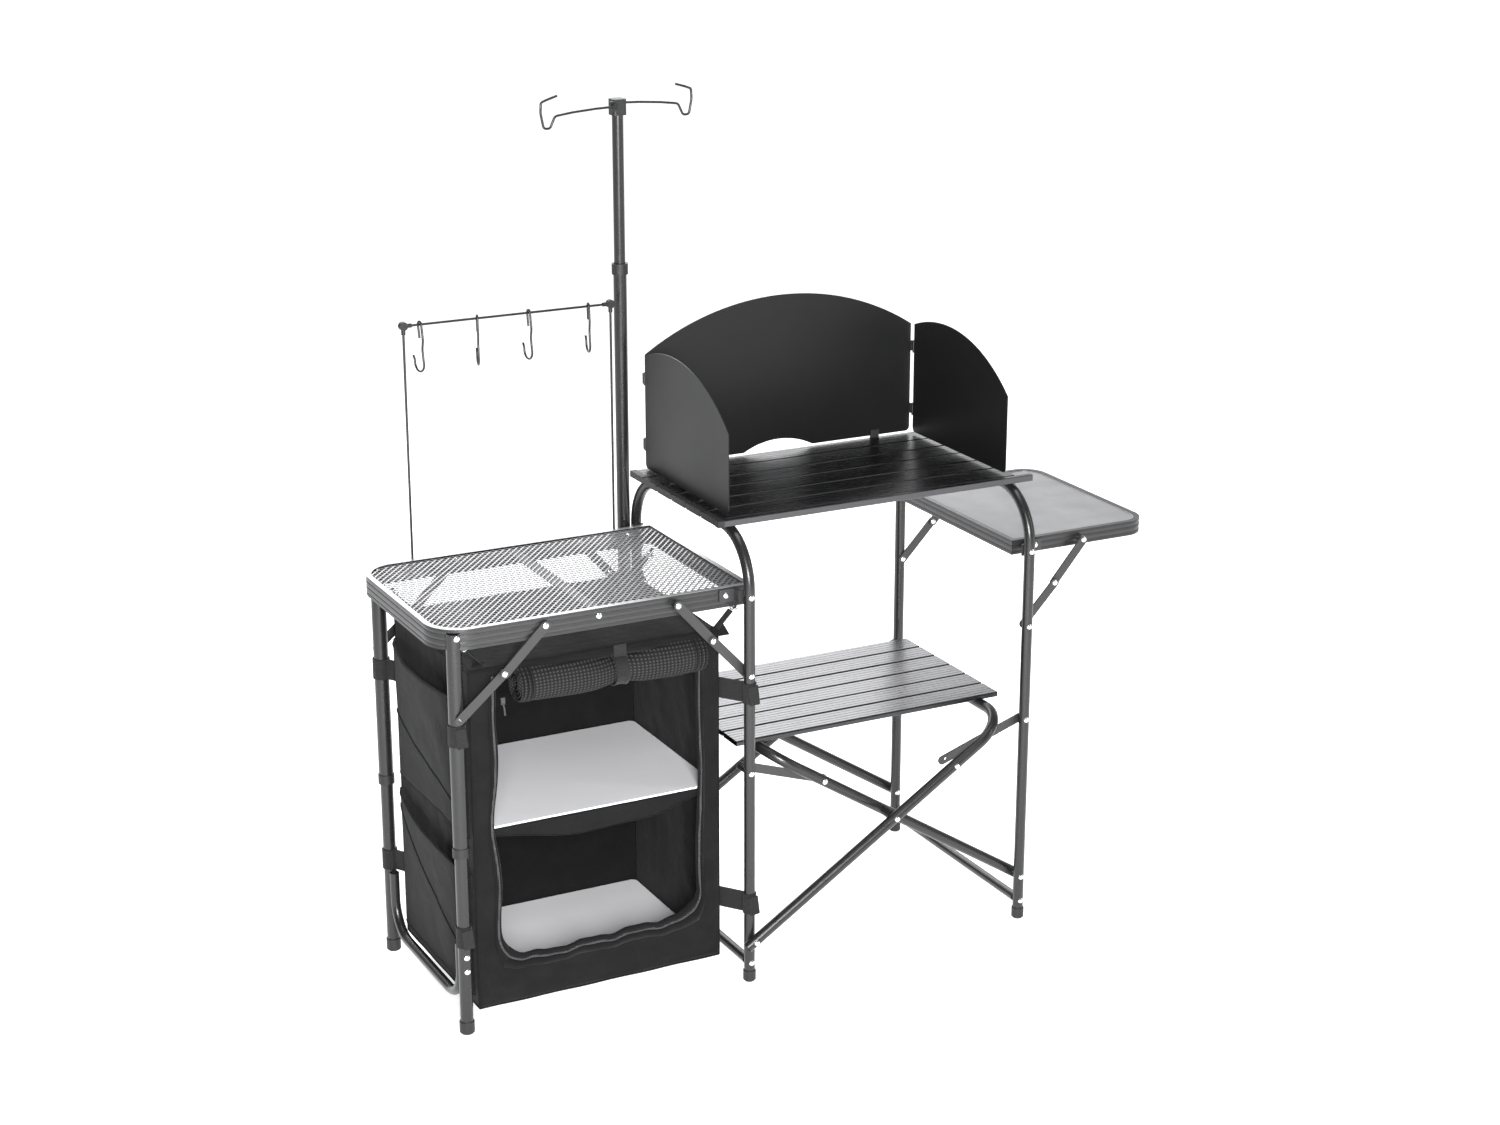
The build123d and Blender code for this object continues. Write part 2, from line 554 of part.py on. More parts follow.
UPPER_BACK = INNER_Y + 2 * BAR_T + 0.3                 # back face of an inner brace's upper bar
RIM_IN = RIM_Y0 + RIM_T + 0.8                          # inner face of a rim's wall
with BuildPart() as left_rivets:
    for y in LEG_ROWS:
        rivet(X_LEFT, PIVOT_Z, y + A_OFF - R + SEAT, y + R - SEAT)
        rivet(X_LEFT, LINK_Z, y - R + SEAT, y + LLINK_OFF + BAR_T)
    for z in (BRACE_Z, SIDE_PIVOT_Z):
        rivet_pair(X_LEFT, z, Y_FRONT - R + SEAT, Y_FRONT + RLINK_OFF + BAR_T)
    stud_pair(X_LEFT, STRETCH_Z, Y_FRONT - R)
    rivet_pair(OUTER_MID_X, MID_Z, OUTER_Y, OUTER_Y + 2 * BAR_T + 0.3)
    rivet_pair(OUTER_RIM_X, RIM_Z, OUTER_Y, RIM_IN)
    rivet_pair(INNER_MID_X, MID_Z, INNER_Y, UPPER_BACK)
    rivet_pair(INNER_RIM_X, RIM_Z, INNER_Y + BAR_T + 0.3, RIM_IN)
    rivet_pair(X_LEFT - BRACKET_X, RIM_Z, RIM_Y0 - 2.6, RIM_IN)
    for x in (X_OUTER, *STRAP_X):
        stud_pair(x, RIM_Z, RIM_Y0)
    for z, tube_d in ((BRACE_Z, OUTER_TUBE), (110.0, INNER_TUBE), (134.0, INNER_TUBE)):
        stud_pair(X_OUTER, z, Y_OUTER[0] - tube_d / 2)
save(left_rivets.part, "left_rivets")

with BuildPart() as right_rivets:
    for y in LEG_ROWS:
        rivet(X_RIGHT, PIVOT_Z, y - R + SEAT, y + B_OFF + R - SEAT)
        rivet(X_RIGHT, LINK_Z, y - R + SEAT, y + RLINK_OFF + BAR_T)
    for z in (BRACE_Z, SIDE_PIVOT_Z):
        rivet_pair(X_RIGHT, z, Y_FRONT - R + SEAT, Y_FRONT + RLINK_OFF + BAR_T)
    stud_pair(X_RIGHT, STRETCH_Z, Y_FRONT - R)
save(right_rivets.part, "right_rivets")

with BuildPart() as tray_rivets:
    rivet_pair(X_RIGHT + BRACKET_X, RIM_Z, RIM_Y0 - 2.6, RIM_IN)
save(tray_rivets.part, "tray_rivets")

with BuildPart() as brace_rivets:
    rivet_pair(TRAY_MID_X, TRAY_MID_Z, INNER_Y, UPPER_BACK)
    rivet_pair(TRAY_BRACE_X, TRAY_BRACE_Z, INNER_Y + BAR_T + 0.3, UPPER_BACK)
save(brace_rivets.part, "tray_brace_rivets")

with BuildPart() as left_spacers:
    for y0, y1 in mirror_rows(UPPER_BACK, RIM_Y0):
        spacer(INNER_RIM_X, RIM_Z, y0, y1)
    for y in LEG_ROWS:
        spacer(X_LEFT, LINK_Z, y + R, y + LLINK_OFF - 0.2)
save(left_spacers.part, "left_spacers")

# ---------------------------------------------------------------- outer legs of the mesh table
JOIN_Z = 306.0             # lower end of the upper legs
OUTER_WALL = 1.2
with BuildPart() as upper_legs:
    for y in Y_OUTER:
        tube([(X_OUTER, y, JOIN_Z), (X_OUTER, y, SIDE_TOP - 8)], None, OUTER_TUBE, OUTER_WALL)
save(upper_legs.part, "outer_legs_upper")
with BuildPart() as lower_legs:
    for y in Y_OUTER:
        tube([(X_OUTER, y, 3), (X_OUTER, y, JOIN_Z + 45)], None, INNER_TUBE, OUTER_WALL)
save(lower_legs.part, "outer_legs_lower")
with BuildPart() as left_feet:
    for y in Y_OUTER:
        foot(X_OUTER, y, INNER_TUBE, 22)
    for y in LEG_ROWS:
        foot(X_LEFT, y, TUBE)
save(left_feet.part, "left_feet")
with BuildPart() as left_stretchers:
    tube([(X_LEFT, Y_FRONT + R, STRETCH_Z), (X_LEFT, Y_REAR - R, STRETCH_Z)], None, 16.0)
    inner = INNER_TUBE / 2 + 8.2
    tube([(X_OUTER, Y_OUTER[0] + inner, 148), (X_OUTER, Y_OUTER[0] + inner, 46),
          (X_OUTER, Y_OUTER[1] - inner, 46), (X_OUTER, Y_OUTER[1] - inner, 148)], 56.0, 16.0)
save(left_stretchers.part, "left_stretchers")
# ---------------------------------------------------------------- lantern pole
MAST_FOOT = 850.0
SOCKET = 9.0               # width of the rack's sockets
with BuildPart() as pole:
    tube([(POLE_X, POLE_Y, POLE_FOOT), (POLE_X, POLE_Y, POLE_JOINT)], None, POLE_D)
save(pole.part, "pole_lower")

with BuildPart() as collars:
    for y in Y_OUTER:
        with BuildSketch(Plane.XY.offset(JOIN_Z - 3)):
            with Locations((X_OUTER, y)):
                Circle(OUTER_TUBE / 2 + 1.4)
                Circle(OUTER_TUBE / 2 + 0.02, mode=Mode.SUBTRACT)
        extrude(amount=16)
    with BuildSketch(Plane.XY.offset(POLE_JOINT - 8)):
        with Locations((POLE_X, POLE_Y)):
            Circle(POLE_D / 2 + 2.6)
            Circle(POLE_D / 2 + 0.02, mode=Mode.SUBTRACT)
    extrude(amount=8)
    with BuildSketch(Plane.XY.offset(POLE_JOINT)):
        with Locations((POLE_X, POLE_Y)):
            Circle(POLE_D / 2 + 2.6)
            Circle(MAST_D / 2 + 0.3, mode=Mode.SUBTRACT)
    extrude(amount=10)
save(collars.part, "tube_collars")

with BuildPart() as clamps:
    for z in (575.0, 640.0):
        with BuildSketch(Plane.XY.offset(z - 11)):
            with Locations((POLE_X, POLE_Y)):
                Circle(POLE_D / 2 + 2.4)
            with Locations((X_LEFT, Y_REAR)):
                Circle(R + 2.4)
            with Locations(Location(((POLE_X + X_LEFT) / 2, (POLE_Y + Y_REAR) / 2, 0),
                                    (0, 0, degrees(atan2(Y_REAR - POLE_Y, X_LEFT - POLE_X))))):
                Rectangle(22, 9)
            with Locations((POLE_X, POLE_Y)):
                Circle(POLE_D / 2 + 0.02, mode=Mode.SUBTRACT)
            with Locations((X_LEFT, Y_REAR)):
                Circle(R + 0.02, mode=Mode.SUBTRACT)
        extrude(amount=22)
    for x in RACK_X:
        with BuildSketch(Plane.XY.offset(SIDE_TOP - 30)):
            with Locations((x, RACK_Y)):
                Rectangle(SOCKET, 2 * (RACK_Y - RIM_Y1))
                Circle(ROD / 2 + 0.2, mode=Mode.SUBTRACT)
        extrude(amount=26)
save(clamps.part, "pole_and_rack_clamps")

with BuildPart() as mast:
    tube([(POLE_X, POLE_Y, MAST_FOOT), (POLE_X, POLE_Y, POLE_TOP - 5)], None, MAST_D)
save(mast.part, "pole_mast")

ARM_Y = 19.0               # each lantern arm's plane, in front of and behind the mast's axis
ARM_PIVOT = (13.0, POLE_TOP - 10.0)                    # arm pivot: out from the mast, and its height
HEAD_CUBE = 24.0
with BuildPart() as head:
    with BuildSketch(Plane.XY.offset(POLE_TOP - 26)):
        with Locations((POLE_X, POLE_Y)):
            RectangleRounded(HEAD_CUBE, HEAD_CUBE, 5)
            Circle(MAST_D / 2 + 0.02, mode=Mode.SUBTRACT)
    extrude(amount=21)
    with BuildSketch(Plane.XY.offset(POLE_TOP - 5)):
        with Locations((POLE_X, POLE_Y)):
            RectangleRounded(HEAD_CUBE, HEAD_CUBE, 5)
    extrude(amount=5)
    for side in (-1, 1):
        with Locations((POLE_X + side * ARM_PIVOT[0], POLE_Y + side * (HEAD_CUBE / 2 - 2 + 3), ARM_PIVOT[1])):
            Box(12, 6, 16)
            Cylinder(1.9, 16, rotation=(90, 0, 0))
save(head.part, "pole_head")


def lantern_arm(side):
    """A wire arm: an eye on the head's pin, a drooping wire, a round hook and a turned-up tip."""
    px, pz = ARM_PIVOT
    x0, y, z0 = POLE_X + side * px, POLE_Y + side * ARM_Y, pz
    rack_points = [(0, 0), (30, -1), (70, -4), (101, -8), (110, -27), (121, -27), (126, -2), (125, 15),
                      (114, 19), (97, 24)]
    tube([(x0 + side * (u + 4), y, z0 + v) for u, v in rack_points],
         [40, 40, 8, 5.4, 5.4, 30, 5, 9], ROD, 0)
    with BuildSketch(Plane(origin=(x0, y - 2.6, z0), z_dir=(0, 1, 0))) as eye:
        Circle(5.2)
        Circle(1.95, mode=Mode.SUBTRACT)
    extrude(eye.sketch, amount=5.2)


with BuildPart() as left_arm:
    lantern_arm(-1)
save(left_arm.part, "lantern_arm_left")
with BuildPart() as right_arm:
    lantern_arm(1)
save(right_arm.part, "lantern_arm_right")

# ---------------------------------------------------------------- hook rack
with BuildPart() as rods:
    for x in RACK_X:
        tube([(x, RACK_Y, SIDE_TOP - 32), (x, RACK_Y, RACK_Z - 7)], None, ROD, 0)
    tube([(RACK_X[0] + 6, RACK_Y, RACK_Z), (RACK_X[1] - 6, RACK_Y, RACK_Z)], None, ROD, 0)
save(rods.part, "rack_rods")
with BuildPart() as hubs:
    for x, side in zip(RACK_X, (1, -1)):
        with Locations((x, RACK_Y, RACK_Z)):
            Cylinder(7, 9, rotation=(90, 0, 0))
            with Locations((0, 0, -8)):
                Cylinder(3.4, 12)
            with Locations((side * 8, 0, 0)):
                Cylinder(3.4, 12, rotation=(0, 90, 0))
            Cylinder(ROD / 2 + 0.02, 40, rotation=(0, 90, 0), mode=Mode.SUBTRACT)
            with Locations((0, 0, -17)):
                Cylinder(ROD / 2 + 0.02, 20, mode=Mode.SUBTRACT)
save(hubs.part, "rack_hubs")


def s_hook():
    """A hook of wire over the crossbar: a short tail, a jogged shank and a wide lower hook, hanging level."""
    loop = ROD / 2 + 2.4 + 0.4
    with BuildLine(Plane.YZ) as wire:
        tail = Line((loop, -22), (loop, 0))
        over = ThreePointArc(tail @ 1, (0, loop), (-loop, 0))
        neck = Line(over @ 1, (-loop, -22))
        jog = Spline(neck @ 1, (0, -44), tangents=((0, -1), (0, -1)))
        shank = Line(jog @ 1, (0, -60))
        bowl = ThreePointArc(shank @ 1, (13, -76), (26, -60))
        Spline(bowl @ 1, (29, -50), tangents=((0, 1), (0.4, 1)))
    with BuildSketch(Plane(origin=wire.line @ 0, z_dir=wire.line % 0)) as section:
        Circle(ROD / 2 * 0.9)
    sweep(section.sketch, path=wire.line)


for k, (share, turn) in enumerate(zip(HOOK_SHARES, HOOK_TURNS), start=1):
    with BuildPart() as blank:
        s_hook()
    centre = blank.part.center(CenterOf.MASS)
    lean = degrees(atan2(centre.Y, -centre.Z))
    x = RACK_X[0] + share * (RACK_X[1] - RACK_X[0])
    with BuildPart() as hook:
        with Locations(Location((x, RACK_Y, RACK_Z), (0, 0, turn)) * Location((0, 0, 0), (-lean, 0, 0))):
            add(blank.part)
    save(hook.part, f"hook_{k}")

# ---------------------------------------------------------------- fabric cupboard
with BuildPart() as cupboard:
    with Locations(((CUP_X0 + CUP_X1) / 2, (CUP_Y0 + CUP_Y1) / 2, (CUP_Z0 + CUP_Z1) / 2)):
        Box(CUP_X1 - CUP_X0, CUP_Y1 - CUP_Y0, CUP_Z1 - CUP_Z0)
        Box(CUP_X1 - CUP_X0 - 2 * CLOTH, CUP_Y1 - CUP_Y0 - 2 * CLOTH, CUP_Z1 - CUP_Z0 - 2 * CLOTH,
            mode=Mode.SUBTRACT)
    with BuildSketch(Plane(origin=(0, CUP_Y0, 0), x_dir=(1, 0, 0), z_dir=(0, -1, 0))) as door:
        with Locations((sum(DOOR_X) / 2, sum(DOOR_Z) / 2)):
            Rectangle(DOOR_X[1] - DOOR_X[0], DOOR_Z[1] - DOOR_Z[0])
        fillet(door.vertices().group_by(Axis.Y)[0], 46)
    extrude(amount=-2 * CLOTH, mode=Mode.SUBTRACT)
save(cupboard.part, "cupboard_shell")

BOARD_T = 3.0
BOARD_X0, BOARD_X1 = CUP_X0 + CLOTH + 1, CUP_X1 - CLOTH - 1
BOARD_Y0, BOARD_Y1 = CUP_Y0 + CLOTH + 1, CUP_Y1 - CLOTH - 1
UPPER_BOARD_Z = 343.0      # top of the upper board
with BuildPart() as boards:
    for top in (CUP_Z0 + CLOTH + BOARD_T + 0.3, UPPER_BOARD_Z):
        with BuildSketch(Plane.XY.offset(top - BOARD_T)):
            with Locations(((BOARD_X0 + BOARD_X1) / 2, (BOARD_Y0 + BOARD_Y1) / 2)):
                RectangleRounded(BOARD_X1 - BOARD_X0, BOARD_Y1 - BOARD_Y0, 10)
        extrude(amount=BOARD_T)
save(boards.part, "cupboard_boards")

with BuildPart() as sling:
    with Locations(((BOARD_X0 + BOARD_X1) / 2, (BOARD_Y0 + BOARD_Y1) / 2, UPPER_BOARD_Z - BOARD_T - 1.3)):
        Box(BOARD_X1 - BOARD_X0 + 2, BOARD_Y1 - BOARD_Y0 + 2, 2.0)
save(sling.part, "board_sling")

ROLL_R = 29.0
ROLL_X = (X_LEFT - 382.0, X_LEFT - 66.0)
ROLL_Y, ROLL_Z = Y_FRONT + 15.0 + ROLL_R, 570.0
with BuildPart() as roll:
    with BuildSketch(Plane(origin=(ROLL_X[0], ROLL_Y, ROLL_Z), z_dir=(1, 0, 0))):
        Circle(ROLL_R)
    extrude(amount=ROLL_X[1] - ROLL_X[0])
    with Locations(((CUP_X0 + CUP_X1) / 2, CUP_Y0 + CLOTH / 2, (CUP_Z0 + CUP_Z1) / 2)):
        Box(CUP_X1 - CUP_X0, CLOTH + 0.6, CUP_Z1 - CUP_Z0, mode=Mode.SUBTRACT)
save(roll.part, "door_roll")


# ---------------------------------------------------------------- straps of the cupboard
STRAP_H, WEB = 34.0, 1.8   # height and thickness of the hook-and-loop straps
LEG_STRAPS = (             # leg x, leg y, leg diameter, strap heights
    (X_OUTER, Y_OUTER[0], OUTER_TUBE, 505.0), (X_OUTER, Y_OUTER[0], INNER_TUBE, 168.0),
    (X_OUTER, Y_OUTER[1], OUTER_TUBE, 505.0), (X_OUTER, Y_OUTER[1], INNER_TUBE, 168.0),
    (X_LEFT, Y_FRONT, TUBE, 505.0), (X_LEFT, Y_FRONT, TUBE, 140.0),
    (X_LEFT, Y_REAR, TUBE, 505.0), (X_LEFT, Y_REAR, TUBE, 140.0))
with BuildPart() as leg_straps:
    for x, y, leg_d, z in LEG_STRAPS:
        corner_x = CUP_X0 if x < CUP_X0 else CUP_X1
        corner_y = CUP_Y0 + 16 if y < Y_MID else CUP_Y1 - 16
        reach = sqrt((corner_x - x) ** 2 + (corner_y - y) ** 2)
        turn = degrees(atan2(corner_y - y, corner_x - x))
        with BuildSketch(Plane.XY.offset(z - STRAP_H / 2)):
            with Locations((x, y)):
                Circle(leg_d / 2 + 0.4 + WEB)
            with Locations(Location(((x + corner_x) / 2, (y + corner_y) / 2, 0), (0, 0, turn))):
                Rectangle(reach, 2 * WEB)
            with Locations((x, y)):
                Circle(leg_d / 2 + 0.4, mode=Mode.SUBTRACT)
            with Locations(((CUP_X0 + CUP_X1) / 2, (CUP_Y0 + CUP_Y1) / 2)):
                Rectangle(CUP_X1 - CUP_X0 + 0.2, CUP_Y1 - CUP_Y0 + 0.2, mode=Mode.SUBTRACT)
        extrude(amount=STRAP_H)
save(leg_straps.part, "cupboard_leg_straps")

with BuildPart() as corner_straps:
    for x, y in ((CUP_X1 - 6, CUP_Y0 + 6), (CUP_X1 - 6, CUP_Y1 - 6), (CUP_X0 + 22, CUP_Y0 + 22),
                 (CUP_X0 + 22, CUP_Y1 - 6)):
        with Locations((x, y, (CUP_Z1 + 0.2 + SIDE_TOP - GRILL_H - 0.4) / 2)):
            Box(3, 12, SIDE_TOP - GRILL_H - 0.6 - CUP_Z1)
save(corner_straps.part, "corner_straps")
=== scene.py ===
import json
from math import ceil, cos, pi, radians, sin, sqrt

import bpy
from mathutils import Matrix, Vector, noise


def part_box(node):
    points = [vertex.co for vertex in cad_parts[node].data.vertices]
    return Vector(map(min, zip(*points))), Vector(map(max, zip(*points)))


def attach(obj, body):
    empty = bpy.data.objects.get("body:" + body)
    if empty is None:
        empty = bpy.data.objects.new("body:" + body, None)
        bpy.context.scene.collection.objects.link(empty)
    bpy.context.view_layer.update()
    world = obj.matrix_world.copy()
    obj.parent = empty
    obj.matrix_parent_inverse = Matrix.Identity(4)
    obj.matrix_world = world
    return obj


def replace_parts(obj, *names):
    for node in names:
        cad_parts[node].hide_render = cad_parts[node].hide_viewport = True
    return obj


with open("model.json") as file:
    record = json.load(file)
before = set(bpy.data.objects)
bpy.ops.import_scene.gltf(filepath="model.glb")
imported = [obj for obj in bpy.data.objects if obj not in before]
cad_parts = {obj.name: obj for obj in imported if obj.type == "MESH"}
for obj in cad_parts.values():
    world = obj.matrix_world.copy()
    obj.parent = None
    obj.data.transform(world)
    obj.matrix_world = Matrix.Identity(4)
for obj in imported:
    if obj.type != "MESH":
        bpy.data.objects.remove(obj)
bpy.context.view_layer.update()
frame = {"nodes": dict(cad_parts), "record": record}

# ---------------------------------------------------------------- sizes carried over from the frame (m)
LEG_X, OUTER_X = -0.1355, -0.6155
LEG_Y = (-0.2134, 0.2066)
RIM_Y = (-0.1854, 0.1786)
GRILL_X = (-0.6465, -0.1185)
TRAY_X = (0.3695, 0.6465)
SIDE_TOP = 0.677
CUP_X = (-0.5955, -0.1735)
CUP_Y = (-0.1774, 0.1446)
CUP_Z = (0.040, 0.604)
DOOR_X = (-0.5535, -0.2135)
DOOR_Z = (0.118, 0.592)
BOARD_Z = 0.343
ROLL_X = (-0.5175, -0.2015)
ROLL_Y, ROLL_Z, ROLL_R = -0.1694, 0.570, 0.029
ROLL_SAG = 0.004              # how far the roll hangs down at its middle
PINCH_AT, PINCH_WIDTH = 0.545, 0.085  # where the strap draws the roll in, as shares of its length
GRILL_CORNER = 0.058          # corner radius of the mesh table
DOOR_CORNER = 0.052           # corner radius of the door opening
TRAY_CORNER, BEAD_INSET = 0.045, 0.010
BEAD_RADIUS = 0.0355
ZIP_END = (-0.5440, -0.1835, 0.5520)
EASE = 0.0008                 # bevel on small parts
WAVE_UNIT = 0.314159          # a wave texture's scale times its period
EULER = 2.718


# ---------------------------------------------------------------- shader helpers
class Shader:
    """One procedural material, built node by node in the piece's own coordinates."""

    def __init__(self, name, colour, rough, metal=0.0, specular=0.5):
        self.mat = bpy.data.materials.new(name)
        self.mat.use_nodes = True
        self.tree = self.mat.node_tree
        self.base = self.tree.nodes["Principled BSDF"]
        self.set("Base Color", (*colour, 1.0))
        self.set("Roughness", rough)
        self.set("Metallic", metal)
        self.set("Specular IOR Level", specular)
        self.mat.diffuse_color = (*colour, 1.0)
        self.place = self.node("ShaderNodeTexCoord").outputs["Object"]
        self.height = None

    def set(self, socket, value):
        self.base.inputs[socket].default_value = value

    def node(self, kind, **settings):
        made = self.tree.nodes.new(kind)
        for key, value in settings.items():
            setattr(made, key, value)
        return made

    def link(self, a, b):
        self.tree.links.new(a, b)

    def stretched(self, stretch):
        mapping = self.node("ShaderNodeMapping")
        mapping.inputs["Scale"].default_value = stretch
        self.link(self.place, mapping.inputs["Vector"])
        return mapping.outputs["Vector"]

    def noise(self, scale, stretch=(1, 1, 1), detail=2.0):
        tex = self.node("ShaderNodeTexNoise")
        tex.inputs["Scale"].default_value = scale
        tex.inputs["Detail"].default_value = detail
        self.link(self.stretched(stretch), tex.inputs["Vector"])
        return tex.outputs["Fac"]

    def ribs(self, axis, period):
        tex = self.node("ShaderNodeTexWave", bands_direction=axis)
        tex.inputs["Scale"].default_value = WAVE_UNIT / period
        self.link(self.place, tex.inputs["Vector"])
        return tex.outputs["Fac"]

    def maths(self, operation, a, b):
        made = self.node("ShaderNodeMath", operation=operation)
        for k, value in enumerate((a, b)):
            if isinstance(value, (int, float)):
                made.inputs[k].default_value = value
            else:
                self.link(value, made.inputs[k])
        return made.outputs[0]

    def part_of(self, axis):
        split = self.node("ShaderNodeSeparateXYZ")
        self.link(self.place, split.inputs[0])
        return split.outputs[axis]

    def between(self, value, low, high, out_low=0.0, out_high=1.0):
        made = self.node("ShaderNodeMapRange")
        for name, number in (("From Min", low), ("From Max", high),
                             ("To Min", out_low), ("To Max", out_high)):
            made.inputs[name].default_value = number
        self.link(value, made.inputs["Value"])
        return made.outputs["Result"]

    def tint(self, factor, dark, light):
        mix = self.node("ShaderNodeMix", data_type="RGBA")
        self.link(factor, mix.inputs["Factor"])
        for name, colour in (("A", dark), ("B", light)):
            socket = [s for s in mix.inputs if s.name == name and s.type == "RGBA"][0]
            socket.default_value = (*colour, 1.0)
        self.link([s for s in mix.outputs if s.type == "RGBA"][0], self.base.inputs["Base Color"])

    def vary(self, factor, low, high, socket="Roughness"):
        self.link(self.between(factor, 0.0, 1.0, low, high), self.base.inputs[socket])

    def bump(self, height, strength, distance):
        made = self.node("ShaderNodeBump")
        made.inputs["Strength"].default_value = strength
        made.inputs["Distance"].default_value = distance
        self.link(height, made.inputs["Height"])
        if self.height is not None:
            self.link(self.height, made.inputs["Normal"])
        self.height = made.outputs["Normal"]
        self.link(self.height, self.base.inputs["Normal"])


def grey(value):
    return (value, value, value * 1.02)


def powder_coat():
    s = Shader("powder_coat", grey(0.011), 0.28)
    s.vary(s.noise(40), 0.22, 0.36)
    s.bump(s.noise(1400, detail=1.0), 0.10, 0.0004)
    return s.mat


def bar_coat():
    s = Shader("bar_coat", grey(0.024), 0.38)
    s.vary(s.noise(60), 0.34, 0.50)
    s.bump(s.noise(1100, detail=1.0), 0.12, 0.0004)
    return s.mat


def grained_plastic():
    s = Shader("grained_plastic", grey(0.007), 0.50)
    s.vary(s.noise(80), 0.45, 0.62)
    s.bump(s.noise(900), 0.25, 0.0004)
    return s.mat


def slat_aluminium(name, body, edge):
    """Fluted dark extrusion; its rounded edges carry painted light in the base colour, set by their facing:
    a painted highlight where edge is lighter than body, painted shade where it is darker.
    """
    s = Shader(name, grey(body), 0.30, metal=1.0)
    painted_edge_facing = s.node("ShaderNodeSeparateXYZ")
    s.link(s.node("ShaderNodeNewGeometry").outputs["Normal"], painted_edge_facing.inputs[0])
    # Painted light on the rounded edges: the edge grey is a painted highlight on the top slats and painted
    # shade on the shelf slats.
    s.tint(s.between(painted_edge_facing.outputs[2], 0.97, 0.62), grey(body), grey(edge))
    streak = s.noise(30, (1, 26, 26), 4.0)
    s.vary(streak, 0.20, 0.40)
    s.bump(s.ribs("Y", 0.0046), 0.35, 0.0006)
    s.bump(streak, 0.06, 0.0004)
    return s.mat


def rim_aluminium(name, top_z, lip):
    s = Shader(name, grey(0.022), 0.36, specular=0.6)
    s.bump(s.noise(24, (1, 1, 40), 3.0), 0.08, 0.0004)
    s.bump(s.ribs("Z", 0.0094), 0.30, 0.0012)
    on_top = s.between(s.part_of(2), top_z - 0.0006, top_z - 0.0002)
    scuff = s.noise(160, detail=3.0)
    s.vary(scuff, 0.28, 0.44)
    s.tint(on_top, grey(0.014), grey(lip))
    s.link(s.maths("MULTIPLY", on_top, 0.75), s.base.inputs["Metallic"])
    return s.mat


def mesh_steel():
    s = Shader("mesh_steel", grey(0.28), 0.34, metal=0.7)
    s.tint(s.noise(220), grey(0.20), grey(0.34))
    s.bump(s.noise(900), 0.15, 0.0003)
    return s.mat


def tray_laminate():
    s = Shader("tray_laminate", grey(0.075), 0.42)
    mottle = s.noise(18, detail=6.0)
    s.tint(s.between(mottle, 0.3, 0.7), grey(0.17), grey(0.25))
    s.vary(mottle, 0.34, 0.52)
    s.bump(s.noise(700), 0.10, 0.0004)
    return s.mat


def rivet_steel():
    s = Shader("rivet_steel", grey(0.82), 0.22, metal=1.0)
    s.vary(s.noise(500), 0.16, 0.34)
    return s.mat


def screen_sheet():
    s = Shader("screen_sheet", grey(0.005), 0.40, specular=0.35)
    cloud = s.noise(7, detail=5.0)
    s.vary(cloud, 0.36, 0.50)
    s.bump(s.noise(1300, detail=1.0), 0.10, 0.0003)
    s.bump(s.noise(3.5, detail=1.0), 0.25, 0.004)
    return s.mat


def wire_steel():
    s = Shader("wire_steel", grey(0.008), 0.30)
    s.vary(s.noise(120), 0.24, 0.40)
    return s.mat


def weave(name, light, dark, period, fold=0.5):
    s = Shader(name, grey(light), 0.88, specular=0.16)
    s.set("Sheen Weight", 0.05)
    s.set("Sheen Roughness", 0.5)
    threads = s.maths("ADD", s.maths("ADD", s.ribs("X", period), s.ribs("Y", period)), s.ribs("Z", period))
    cloud = s.noise(26, detail=5.0)
    s.tint(s.maths("MULTIPLY", cloud, s.between(threads, 0.0, 3.0, 0.6, 1.4)), grey(dark), grey(light))
    s.bump(threads, 0.30, 0.0005)
    s.bump(s.noise(34, detail=3.0), fold, 0.0025)
    return s.mat


def netting():
    s = Shader("netting", grey(0.05), 0.8, specular=0.3)
    dots = s.maths("MULTIPLY", s.ribs("X", 0.0062), s.ribs("Z", 0.0048))
    s.tint(s.between(dots, 0.15, 0.75), grey(0.0015), grey(0.034))
    s.bump(dots, 0.5, 0.0012)
    return s.mat


def webbing():
    s = Shader("webbing", grey(0.020), 0.82, specular=0.35)
    s.set("Sheen Weight", 0.05)
    rib = s.maths("ADD", s.ribs("Z", 0.0026), s.ribs("Y", 0.0019))
    s.tint(s.between(rib, 0.0, 2.0), grey(0.003), grey(0.011))
    s.bump(rib, 0.5, 0.0007)
    return s.mat


def white_board():
    s = Shader("white_board", grey(0.74), 0.42)
    s.tint(s.noise(9, detail=4.0), grey(0.80), grey(0.88))
    s.vary(s.noise(30), 0.34, 0.50)
    s.bump(s.noise(500), 0.06, 0.0004)
    return s.mat


def zip_teeth():
    s = Shader("zip_teeth", grey(0.03), 0.45)
    tooth = s.maths("ADD", s.ribs("Z", 0.0026), s.ribs("X", 0.0026))
    s.tint(s.between(tooth, 0.3, 1.7), grey(0.008), grey(0.075))
    s.bump(tooth, 0.8, 0.001)
    return s.mat


